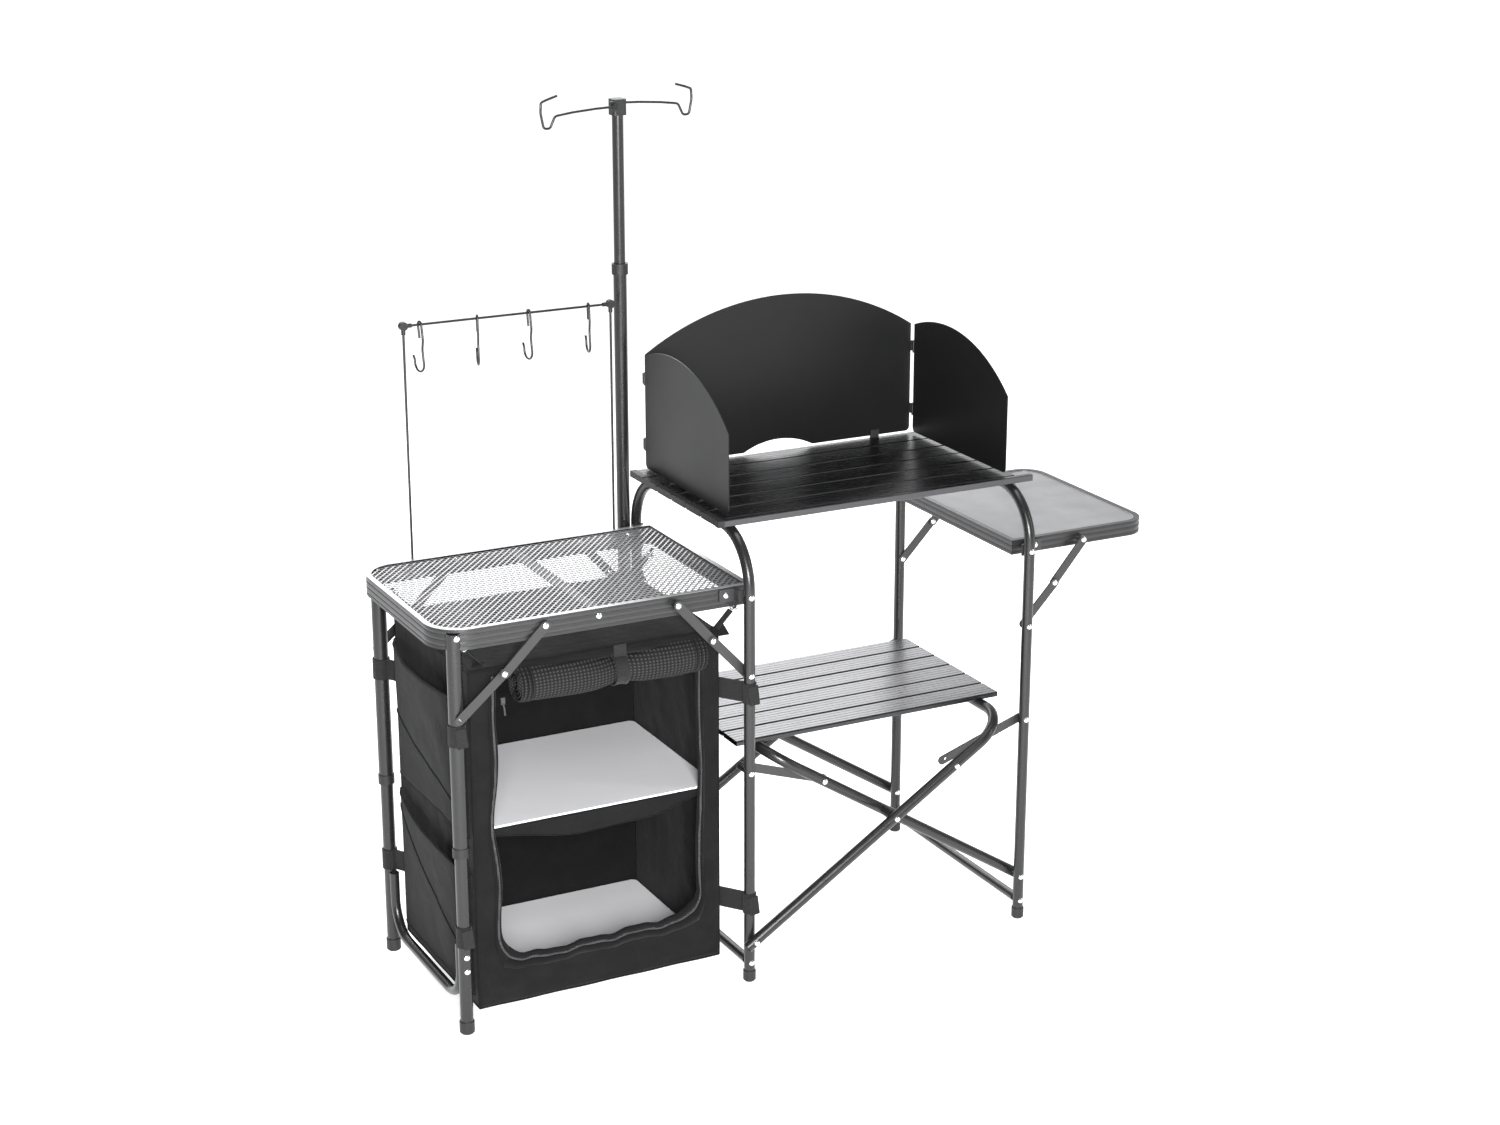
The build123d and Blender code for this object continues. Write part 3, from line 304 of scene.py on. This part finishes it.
CLOTH = weave("black_oxford", 0.0075, 0.0022, 0.0021, 0.7)
LINING = weave("black_lining", 0.0065, 0.0022, 0.0026, 0.4)
BIND = weave("binding_tape", 0.0050, 0.0018, 0.0016, 0.2)
NET, WEB, TEETH = netting(), webbing(), zip_teeth()
PLASTIC, RIVET, WIRE, MESH = grained_plastic(), rivet_steel(), wire_steel(), mesh_steel()
BY_SLOT = {
    "frame_steel": powder_coat(), "bar_steel": bar_coat(), "black_plastic": PLASTIC,
    # The shelf slats share one finish with the top slats; their lighter body grey is a painted reflection
    # of the bright backdrop, and their edges get painted shade.
    "slat_aluminium": slat_aluminium("shelf_aluminium_painted_reflection", 0.17, 0.06),
    "rim_aluminium": rim_aluminium("grill_rim_alu", SIDE_TOP, 0.34),
    "mesh_steel": MESH, "tray_laminate": tray_laminate(), "rivet_steel": RIVET,
    "screen_sheet": screen_sheet(), "wire_steel": WIRE, "black_cloth": CLOTH, "white_board": white_board(),
}
# A darker copy of the slat finish for the top slats: painted shade, with a painted highlight on their
# rounded edges.
TOP_SLATS_SHADED_COPY = slat_aluminium("top_aluminium_painted_shade", 0.030, 0.10)
BY_NODE = {
    "top_slats": TOP_SLATS_SHADED_COPY, "top_front_rail": TOP_SLATS_SHADED_COPY,
    "tray_rim": rim_aluminium("tray_rim_alu", SIDE_TOP, 0.030),
    "cupboard_leg_straps": WEB, "corner_straps": WEB, "grill_cross_straps": BY_SLOT["rim_aluminium"],
}
SLOT_OF = {part["node"]: part["material_slot"] for part in frame["record"]["subparts"]}
for name, node in frame["nodes"].items():
    node.data.materials.clear()
    node.data.materials.append(BY_NODE.get(name) or BY_SLOT[SLOT_OF[name]])


# ---------------------------------------------------------------- piece helpers
def piece(name, verts, faces, mat, slot, smooth=True):
    """A mesh on the fixed body."""
    mesh = bpy.data.meshes.new(name)
    mesh.from_pydata([tuple(v) for v in verts], [], faces)
    mesh.materials.append(mat)
    mesh.polygons.foreach_set("use_smooth", [smooth] * len(mesh.polygons))
    mesh.update()
    obj = bpy.data.objects.new(name, mesh)
    bpy.context.scene.collection.objects.link(obj)
    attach(obj, "base")
    return obj


def grid(place, nu, nv, closed_u=False):
    """Vertices and faces of a surface, place(u, v) over the unit square."""
    cols = nu if closed_u else nu + 1
    verts = [place(i / nu, j / nv) for j in range(nv + 1) for i in range(cols)]
    faces = [(j * cols + i, j * cols + (i + 1) % cols, (j + 1) * cols + (i + 1) % cols, (j + 1) * cols + i)
             for j in range(nv) for i in range(nu)]
    return verts, faces


def thicken(obj, thickness, offset=0.0):
    made = obj.modifiers.new("thickness", "SOLIDIFY")
    made.thickness, made.offset = thickness, offset


def fabric(name, place, nu, nv, mat=CLOTH, thickness=0.0011, closed=False):
    obj = piece(name, *grid(place, nu, nv, closed), mat, "black_cloth")
    thicken(obj, thickness)
    return obj


def line(name, points, radius, mat, body="base", closed=False):
    """A round line along points."""
    curve = bpy.data.curves.new(name, "CURVE")
    curve.dimensions = "3D"
    spline = curve.splines.new("POLY")
    spline.points.add(len(points) - 1)
    for p, q in zip(spline.points, points):
        p.co = (*q, 1.0)
    spline.use_cyclic_u = closed
    curve.bevel_depth, curve.bevel_resolution, curve.use_fill_caps = radius, 2, True
    curve.materials.append(mat)
    obj = bpy.data.objects.new(name, curve)
    bpy.context.scene.collection.objects.link(obj)
    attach(obj, body)


def block(name, centre, size, mat, slot, tilt=0.0):
    """A small box with eased edges, tilted about Y."""
    out = []
    for sx in (-1, 1):
        for sy in (-1, 1):
            for sz in (-1, 1):
                x, y, z = sx * size[0] / 2, sy * size[1] / 2, sz * size[2] / 2
                x, z = x * cos(tilt) + z * sin(tilt), z * cos(tilt) - x * sin(tilt)
                out.append((centre[0] + x, centre[1] + y, centre[2] + z))
    faces = [(0, 1, 3, 2), (4, 6, 7, 5), (0, 4, 5, 1), (2, 3, 7, 6), (0, 2, 6, 4), (1, 5, 7, 3)]
    obj = piece(name, out, faces, mat, slot, smooth=False)
    ease = obj.modifiers.new("ease", "BEVEL")
    ease.width, ease.segments = EASE, 2


def ripple(a, b, c, scale, seed=0.0):
    return noise.noise(Vector((a * scale + seed, b * scale + 3.1 * seed, c * scale - seed)))


def hump(t):
    return sin(pi * min(1.0, max(0.0, t)))


# ---------------------------------------------------------------- the expanded mesh
def in_outline(x, y, inset):
    """Whether a point lies inside the mesh table's rounded outline, drawn in by inset."""
    x0, x1 = GRILL_X[0] + inset, GRILL_X[1] - inset
    y0, y1 = RIM_Y[0] + inset, RIM_Y[1] - inset
    if not (x0 <= x <= x1 and y0 <= y <= y1):
        return False
    r = GRILL_CORNER - inset
    if x < x0 + r:
        cy = y0 + r if y < y0 + r else y1 - r if y > y1 - r else y
        return (x - x0 - r) ** 2 + (y - cy) ** 2 <= r * r
    return True


def expanded_mesh():
    """Strands of pulled sheet steel, each a thin slip leaning the way the cutting left it."""
    pitch_x, pitch_y, top = 0.0119, 0.0134, SIDE_TOP - 0.0030
    thick = 0.0007
    verts, faces = [], []
    ni = ceil((GRILL_X[1] - GRILL_X[0]) / pitch_x) * 2
    nj = ceil((RIM_Y[1] - RIM_Y[0]) / pitch_y) * 2
    for i in range(ni + 1):
        for j in range(nj + 1):
            if (i + j) % 2:
                continue
            a = (GRILL_X[0] + i * pitch_x / 2, RIM_Y[0] + j * pitch_y / 2)
            if not in_outline(*a, 0.004):
                continue
            for side in (1, -1):
                b = (a[0] + side * pitch_x / 2, a[1] + pitch_y / 2)
                if not in_outline(*b, 0.004):
                    continue
                dx, dy = b[0] - a[0], b[1] - a[1]
                length = sqrt(dx * dx + dy * dy)
                nx, ny = -dy / length, dx / length
                if ny < 0:
                    nx, ny = -nx, -ny
                tilt, width = (radians(5), 0.0024) if side > 0 else (radians(24), 0.0017)
                across = (nx * cos(tilt) * width / 2, ny * cos(tilt) * width / 2, sin(tilt) * width / 2)
                up = (-nx * sin(tilt) * thick / 2, -ny * sin(tilt) * thick / 2, cos(tilt) * thick / 2)
                start = len(verts)
                for px, py in (a, b):
                    for s, t in ((-1, -1), (1, -1), (1, 1), (-1, 1)):
                        verts.append((px + s * across[0] + t * up[0], py + s * across[1] + t * up[1],
                                      top + s * across[2] + t * up[2]))
                for k in range(4):
                    m = (k + 1) % 4
                    faces.append((start + k, start + m, start + 4 + m, start + 4 + k))
    return piece("expanded_mesh", verts, faces, MESH, "mesh_steel", smooth=False)


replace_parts(expanded_mesh(), "grill_mesh")


# ---------------------------------------------------------------- the cupboard's cloth
def front_outer(t):
    """Round the front panel's outer edge, from its lower left corner and counter-clockwise."""
    side, u = int(t * 4) % 4, (t * 4) % 1.0
    x0, x1 = CUP_X
    z0, z1 = CUP_Z
    return [(x0 + (x1 - x0) * u, z0), (x1, z0 + (z1 - z0) * u),
            (x1 - (x1 - x0) * u, z1), (x0, z1 - (z1 - z0) * u)][side]


def door_edge(t):
    """Round the door's edge, matched to front_outer, with its slack hem."""
    x, z = front_outer(t)
    x0, x1 = CUP_X
    z0, z1 = CUP_Z
    u, w = (x - x0) / (x1 - x0), (z - z0) / (z1 - z0)
    px, pz = DOOR_X[0] + (DOOR_X[1] - DOOR_X[0]) * u, DOOR_Z[0] + (DOOR_Z[1] - DOOR_Z[0]) * w
    r = DOOR_CORNER
    for cx, corner in ((DOOR_X[0] + r, -1), (DOOR_X[1] - r, 1)):
        if (px - cx) * corner > 0 and pz < DOOR_Z[0] + r:
            dx, dz = px - cx, pz - DOOR_Z[0] - r
            reach = max(abs(dx), abs(dz)) / sqrt(dx * dx + dz * dz)
            px, pz = cx + dx * reach, DOOR_Z[0] + r + dz * reach
    low = max(0.0, 1.0 - (pz - DOOR_Z[0]) / 0.06)
    pz += low * (0.0024 * sin(px * 74 + 0.6) + 0.0010 * sin(px * 160) + 0.014 * max(0.0, u - 0.25))
    if 0.02 < w < 0.98:
        edge = hump(w * 1.1)
        px += (0.0055 * sin(pz * 30 + 0.4) - 0.004) * edge if u < 0.5 else 0.0030 * sin(pz * 21) * edge
    return px, pz


def front_place(u, v):
    ox, oz = front_outer(u)
    ix, iz = door_edge(u)
    x, z = ox + (ix - ox) * v, oz + (iz - oz) * v
    slack = hump(v) * (0.0030 + 0.0050 * ripple(x, 0.0, z, 9.0, 1.7)
                       + 0.0022 * ripple(x, 0.0, z, 26.0, 4.0))
    slack += v * 0.0030 * ripple(x, 0.0, z, 16.0, 8.0)
    return x, CUP_Y[0] - slack, z


front = fabric("cupboard_front", front_place, 320, 14,
               closed=True)
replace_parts(front, "cupboard_shell")


def upright(fixed, axis, out, seed, depth=0.0065):
    """A wall of the cupboard: fixed is its plane, out the way it may belly."""
    def place(u, v):
        z = CUP_Z[0] + (CUP_Z[1] - CUP_Z[0]) * v
        run = CUP_Y if axis == 0 else CUP_X
        along = run[0] + (run[1] - run[0]) * u
        edge = min(1.0, 5 * u, 5 * (1 - u)) * min(1.0, 6 * v, 8 * (1 - v))
        belly = 0.35 * depth * hump(u) * hump(v)
        drape = (depth * ripple(along, seed, z * 0.55, 11.0, seed)
                 + 0.35 * depth * ripple(along, seed, z, 30.0, seed))
        shift = out * edge * (belly + drape * 0.8)
        return (fixed + shift, along, z) if axis == 0 else (along, fixed + shift, z)
    return place


fabric("cupboard_left_wall", upright(CUP_X[0], 0, -1, 2.3, 0.008), 60, 80)
fabric("cupboard_right_wall", upright(CUP_X[1], 0, 1, 5.1), 60, 80)
fabric("cupboard_back_wall", upright(CUP_Y[1], 1, 1, 7.9), 70, 80,
       LINING)


def roof_place(u, v):
    x, y = CUP_X[0] + (CUP_X[1] - CUP_X[0]) * u, CUP_Y[0] + (CUP_Y[1] - CUP_Y[0]) * v
    lift = 0.016 * hump(v) ** 0.7 * min(1.0, 6 * u, 6 * (1 - u))
    return x, y, CUP_Z[1] + lift + hump(u) * hump(v) * 0.008 * ripple(x, y, 0.0, 9.0, 3.3)


def floor_place(u, v):
    x, y = CUP_X[0] + (CUP_X[1] - CUP_X[0]) * u, CUP_Y[0] + (CUP_Y[1] - CUP_Y[0]) * v
    return x, y, CUP_Z[0] - hump(u) * hump(v) * 0.002


fabric("cupboard_roof", roof_place, 60, 40)
fabric("cupboard_floor", floor_place, 40, 30, LINING)

# Piped seams where the panels are sewn together
SEAM = 0.0017


def seam(name, points):
    line(name, [(x, y, z + 0.0004 * sin(60 * (x + y + z))) for x, y, z in points], SEAM, BIND)


def steps(a, b, n):
    return [tuple(p + (q - p) * k / n for p, q in zip(a, b)) for k in range(n + 1)]


for k, x in enumerate(CUP_X):
    for m, y in enumerate(CUP_Y):
        seam(f"upright_seam_{k}{m}", steps((x, y, CUP_Z[0]), (x, y, CUP_Z[1]), 40))
for k, z in enumerate(CUP_Z):
    ring = [(CUP_X[a], CUP_Y[b], z) for a, b in ((0, 0), (1, 0), (1, 1), (0, 1))]
    for m in range(4):
        seam(f"level_seam_{k}{m}", steps(ring[m], ring[(m + 1) % 4], 30))

# The door's bound edge and its zip
def edge_run(inset, forward):
    """The door's open edge from its upper left round the bottom to its upper right."""
    run = []
    for k in range(361):
        t = (0.75 + 0.75 * k / 360) % 1.0
        x, y, z = front_place(t, 1.0 - inset)
        run.append((x, y - forward, z))
    return run


def tape(name, inner, outer, forward, mat):
    a, b = edge_run(inner, forward), edge_run(outer, forward)
    n = len(a)
    faces = [(k, k + 1, n + k + 1, n + k) for k in range(n - 1)]
    thicken(piece(name, a + b, faces, mat, "black_cloth"), 0.0016)


tape("door_binding", 0.0, 0.10, 0.0016, BIND)
tape("zip_tape", 0.14, 0.30, 0.0010, BIND)
line("zip_chain", edge_run(0.12, 0.0022), 0.0019, TEETH)
block("zip_slider", ZIP_END, (0.007, 0.005, 0.012), BY_SLOT["bar_steel"], "bar_steel")
line("zip_puller", [(-0.5440, -0.1860, 0.5470), (-0.5435, -0.1885, 0.5400), (-0.5430, -0.1890, 0.5300)],
     0.0017, BY_SLOT["bar_steel"])


# ---------------------------------------------------------------- pockets on the left wall
def pocket(name, y0, y1, z_foot, z_hem0, z_hem1, belly, seed, tape_from, tape_to):
    """A patch pocket sewn down at its sides and foot, standing open along its hem."""
    def place(u, v):
        y = y0 + (y1 - y0) * u
        hem = z_hem0 + (z_hem1 - z_hem0) * u - 0.006 * hump(u)
        z = z_foot + (hem - z_foot) * v
        out = 0.0085 + belly * hump(u) ** 0.8 * v ** 1.4
        out += 0.003 * hump(u) * ripple(0.0, y, z, 18.0, seed)
        return CUP_X[0] - out * min(1.0, 0.5 + 9 * min(u, 1 - u)), y, z
    fabric(name, place, 50, 40)
    line(name + "_hem", [place(k / 40, 1.0) for k in range(41)], 0.0022, BIND)
    line(name + "_foot", [place(k / 40, 0.0) for k in range(41)], 0.0014, BIND)
    tape = [place(0.04 + 0.9 * k / 40, tape_from + (tape_to - tape_from) * k / 40) for k in range(41)]
    line(name + "_tape", [(x - 0.0008, y, z) for x, y, z in tape], 0.0015, BIND)


pocket("pocket_upper", 0.138, -0.170, 0.330, 0.560, 0.556, 0.020, 1.3, 0.50, 0.14)
pocket("pocket_lower", 0.138, -0.170, 0.062, 0.300, 0.268, 0.012, 6.4, 0.92, 0.25)

# ---------------------------------------------------------------- the rolled-up door
def roll_size(u):
    """The roll's share of its full radius along its length: drawn in under the strap, full beside it."""
    pinch = 0.36 * pow(EULER, -((u - PINCH_AT) / PINCH_WIDTH) ** 2)
    swell = 0.05 * sin(9 * u) + 0.03 * sin(23 * u + 1)
    return 1.14 - pinch + swell * 0.6


TURNS = 3.6


def roll_place(u, v):
    angle = 2 * pi * TURNS * v + 1.1
    radius = (0.0075 + (ROLL_R - 0.0095) * v) * roll_size(u)
    radius += 0.0010 * ripple(u * 0.3, v, angle * 0.05, 22.0, 2.0)
    x = ROLL_X[0] + (ROLL_X[1] - ROLL_X[0]) * u
    sag = -ROLL_SAG * hump(u)
    return x, ROLL_Y + radius * cos(angle), ROLL_Z + sag - radius * sin(angle) * 0.97


roll = fabric("door_net", roll_place, 90, 150, NET, 0.0014)
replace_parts(roll, "door_roll")
for k, u in enumerate((0.0, 1.0)):
    for m, w in enumerate((0.012, 0.034, 0.056)):
        at = u + (w if k == 0 else -w)
        line(f"roll_band_{k}{m}", [roll_place(at, 0.72 + 0.28 * i / 60) for i in range(61)], 0.0019, BIND)


def roll_strap_place(u, v):
    angle = 2 * pi * u
    at = PINCH_AT + (v - 0.5) * 0.070
    radius = ROLL_R * roll_size(at) * 0.98 + 0.0016
    x = ROLL_X[0] + (ROLL_X[1] - ROLL_X[0]) * at
    return x, ROLL_Y + radius * cos(angle), ROLL_Z - ROLL_SAG + radius * sin(angle)


strap = piece("roll_strap", *grid(roll_strap_place, 60, 6, True), WEB, "black_cloth")
thicken(strap, 0.0018)
block("roll_strap_tab", (-0.345, CUP_Y[0] - 0.003, 0.600), (0.022, 0.002, 0.020), WEB, "black_cloth")


# ---------------------------------------------------------------- the sling under the upper board
def sling_place(u, v):
    x = CUP_X[0] + 0.004 + (CUP_X[1] - CUP_X[0] - 0.008) * u
    y = CUP_Y[0] + 0.006 + (CUP_Y[1] - CUP_Y[0] - 0.012) * v
    skew = 0.55 * hump(u ** 0.75) + 0.45 * hump(u ** 1.5)
    drop = 0.036 * skew * (1 - 0.45 * v) + 0.0018 * sin(40 * x)
    return x, y, BOARD_Z - 0.0055 - drop


sling = fabric("board_hammock", sling_place, 60, 30, LINING)
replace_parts(sling, "board_sling")


def valance_place(u, v):
    x, y, z = sling_place(u, 0.0)
    return x, y - 0.001, BOARD_Z - 0.0045 + (z - BOARD_Z + 0.0045) * v


fabric("board_valance", valance_place, 60, 8)
line("valance_hem", [valance_place(k / 60, 1.0) for k in range(61)], 0.0014, BIND)


# ---------------------------------------------------------------- strap ends, hooks and small parts
OUTER_UPPER_Y, OUTER_LOWER_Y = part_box("outer_legs_upper")[0][1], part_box("outer_legs_lower")[0][1]
LEG_FRONT_Y = LEG_Y[0] - 0.009
for k, (x, y, z) in enumerate(((OUTER_X, OUTER_UPPER_Y, 0.505), (OUTER_X, OUTER_LOWER_Y, 0.168),
                               (LEG_X, LEG_FRONT_Y, 0.505), (LEG_X, LEG_FRONT_Y, 0.140))):
    block(f"strap_flap_{k}", (x + 0.002, y - 0.0032, z - 0.002), (0.018, 0.0016, 0.033), WEB, "black_cloth",
          tilt=-0.12)


def corner_tie(k, x, y, lean):
    """A sewn ear, a webbing strap and a snap hook that hang a corner of the cupboard from the rim."""
    foot, top = (x, y, CUP_Z[1] + 0.002), (x + lean * 0.026, y, CUP_Z[1] + 0.029)
    ear = piece(f"corner_ear_{k}", *grid(
        lambda u, v: (x - lean * 0.026 + lean * (0.050 - 0.012 * v) * u, y + 0.004 * sin(3 * u) * v,
                      CUP_Z[1] - 0.012 + 0.022 * v * (0.35 + 0.65 * u)), 8, 5), CLOTH, "black_cloth")
    thicken(ear, 0.0024)
    web = piece(f"corner_web_{k}", *grid(
        lambda u, v: (foot[0] + (top[0] - foot[0]) * v, y + (u - 0.5) * 0.014,
                      foot[2] + (top[2] - foot[2]) * v), 4, 10), WEB, "black_cloth")
    thicken(web, 0.0022)
    loop = [(top[0] + 0.0045 * lean * (1 - cos(a * pi / 8)), y + 0.0075 * sin(a * pi / 8), top[2] + 0.002)
            for a in range(17)]
    line(f"corner_ring_{k}", loop, 0.0011, RIVET)
    hook = [(top[0] + lean * (0.004 + 0.0075 * a / 12 + 0.003 * sin(a * pi / 6)), y,
             top[2] + 0.002 + 0.0105 * a / 12) for a in range(13)]
    line(f"corner_hook_{k}", hook, 0.0021, PLASTIC)
    return ear


for k, (x, y, lean) in enumerate(((CUP_X[1], CUP_Y[0] + 0.006, 1), (CUP_X[1], CUP_Y[1] - 0.006, 1),
                                  (CUP_X[0] + 0.030, CUP_Y[0] + 0.020, -1),
                                  (CUP_X[0] + 0.030, CUP_Y[1] - 0.006, -1))):
    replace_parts(corner_tie(k, x, y, lean), "corner_straps")

# A thin light line round the tray's panel, along the inner edge of its rim just under the rim top
bead = [(TRAY_X[0] + BEAD_INSET, RIM_Y[0] + BEAD_INSET)]
for corner in range(2):
    cy, turn = ((RIM_Y[0] + TRAY_CORNER, -pi / 2), (RIM_Y[1] - TRAY_CORNER, 0.0))[corner]
    bead += [(TRAY_X[1] - TRAY_CORNER + BEAD_RADIUS * cos(turn + a * pi / 20),
              cy + BEAD_RADIUS * sin(turn + a * pi / 20)) for a in range(11)]
bead.append((TRAY_X[0] + BEAD_INSET, RIM_Y[1] - BEAD_INSET))
line("tray_bead", [(x, y, SIDE_TOP - 0.0016) for x, y in bead], 0.0009, MESH, "tray",
     closed=True)

# ---------------------------------------------------------------- stage, light and camera
floor = bpy.data.objects.new("floor", bpy.data.meshes.new("floor"))
floor.data.from_pydata([(-30, -30, 0), (30, -30, 0), (30, 30, 0), (-30, 30, 0)], [], [(0, 1, 2, 3)])
bpy.context.scene.collection.objects.link(floor)
white = Shader("studio_floor", grey(0.93), 0.9, specular=0.1)
white.set("Emission Color", (1.0, 1.0, 1.0, 1.0))
white.set("Emission Strength", 0.72)
floor.data.materials.append(white.mat)

world = bpy.data.worlds.new("studio")
bpy.context.scene.world = world
world.use_nodes = True
sky = world.node_tree
toward = sky.nodes.new("ShaderNodeTexCoord")
split = sky.nodes.new("ShaderNodeSeparateXYZ")
ramp = sky.nodes.new("ShaderNodeMapRange")
for socket, number in (("From Min", -0.3), ("From Max", 0.8), ("To Min", 0.22), ("To Max", 1.25)):
    ramp.inputs[socket].default_value = number
side = sky.nodes.new("ShaderNodeMapRange")
for socket, number in (("From Min", -0.55), ("From Max", 0.10), ("To Min", 0.20), ("To Max", 1.0)):
    side.inputs[socket].default_value = number
both = sky.nodes.new("ShaderNodeMath")
both.operation = "MULTIPLY"
sky.links.new(toward.outputs["Generated"], split.inputs[0])
sky.links.new(split.outputs["Y"], ramp.inputs["Value"])
sky.links.new(split.outputs["X"], side.inputs["Value"])
sky.links.new(ramp.outputs["Result"], both.inputs[0])
sky.links.new(side.outputs["Result"], both.inputs[1])
sky.links.new(both.outputs[0], sky.nodes["Background"].inputs["Strength"])
sky.nodes["Background"].inputs["Color"].default_value = (0.97, 0.98, 1.0, 1.0)


def softbox(name, place, aim, size, power):
    lamp = bpy.data.lights.new(name, "AREA")
    lamp.shape, lamp.size, lamp.size_y, lamp.energy = "RECTANGLE", size[0], size[1], power
    obj = bpy.data.objects.new(name, lamp)
    obj.location = place
    obj.rotation_euler = (Vector(aim) - Vector(place)).to_track_quat("-Z", "Y").to_euler()
    bpy.context.scene.collection.objects.link(obj)


softbox("key", (-1.9, -3.2, 2.5), (0.0, 0.0, 0.6), (0.6, 2.2), 44)
softbox("low_front", (-1.3, -3.2, 1.5), (-0.38, 0.0, 0.25), (0.8, 0.8), 190)
softbox("fill", (2.6, -2.2, 1.8), (0.0, 0.0, 0.6), (0.5, 2.0), 18)
softbox("back", (0.6, 3.2, 2.4), (0.0, 0.0, 0.7), (3.4, 1.6), 70)
softbox("over", (-0.1, 0.2, 3.4), (0.0, 0.0, 0.6), (2.2, 1.6), 42)

camera = bpy.data.cameras.new("camera")
camera.lens, camera.sensor_width = 64.2, 36.0
view = bpy.data.objects.new("camera", camera)
aim = Vector((-0.0158, 0.0162, 0.6382))
azimuth, elevation, distance = radians(-27.35), radians(17.92), 4.455
view.location = aim + distance * Vector((sin(azimuth) * cos(elevation), -cos(azimuth) * cos(elevation),
                                         sin(elevation)))
view.rotation_euler = (aim - view.location).to_track_quat("-Z", "Y").to_euler()
bpy.context.scene.collection.objects.link(view)
bpy.context.scene.camera = view
bpy.context.scene.view_settings.view_transform = "Standard"
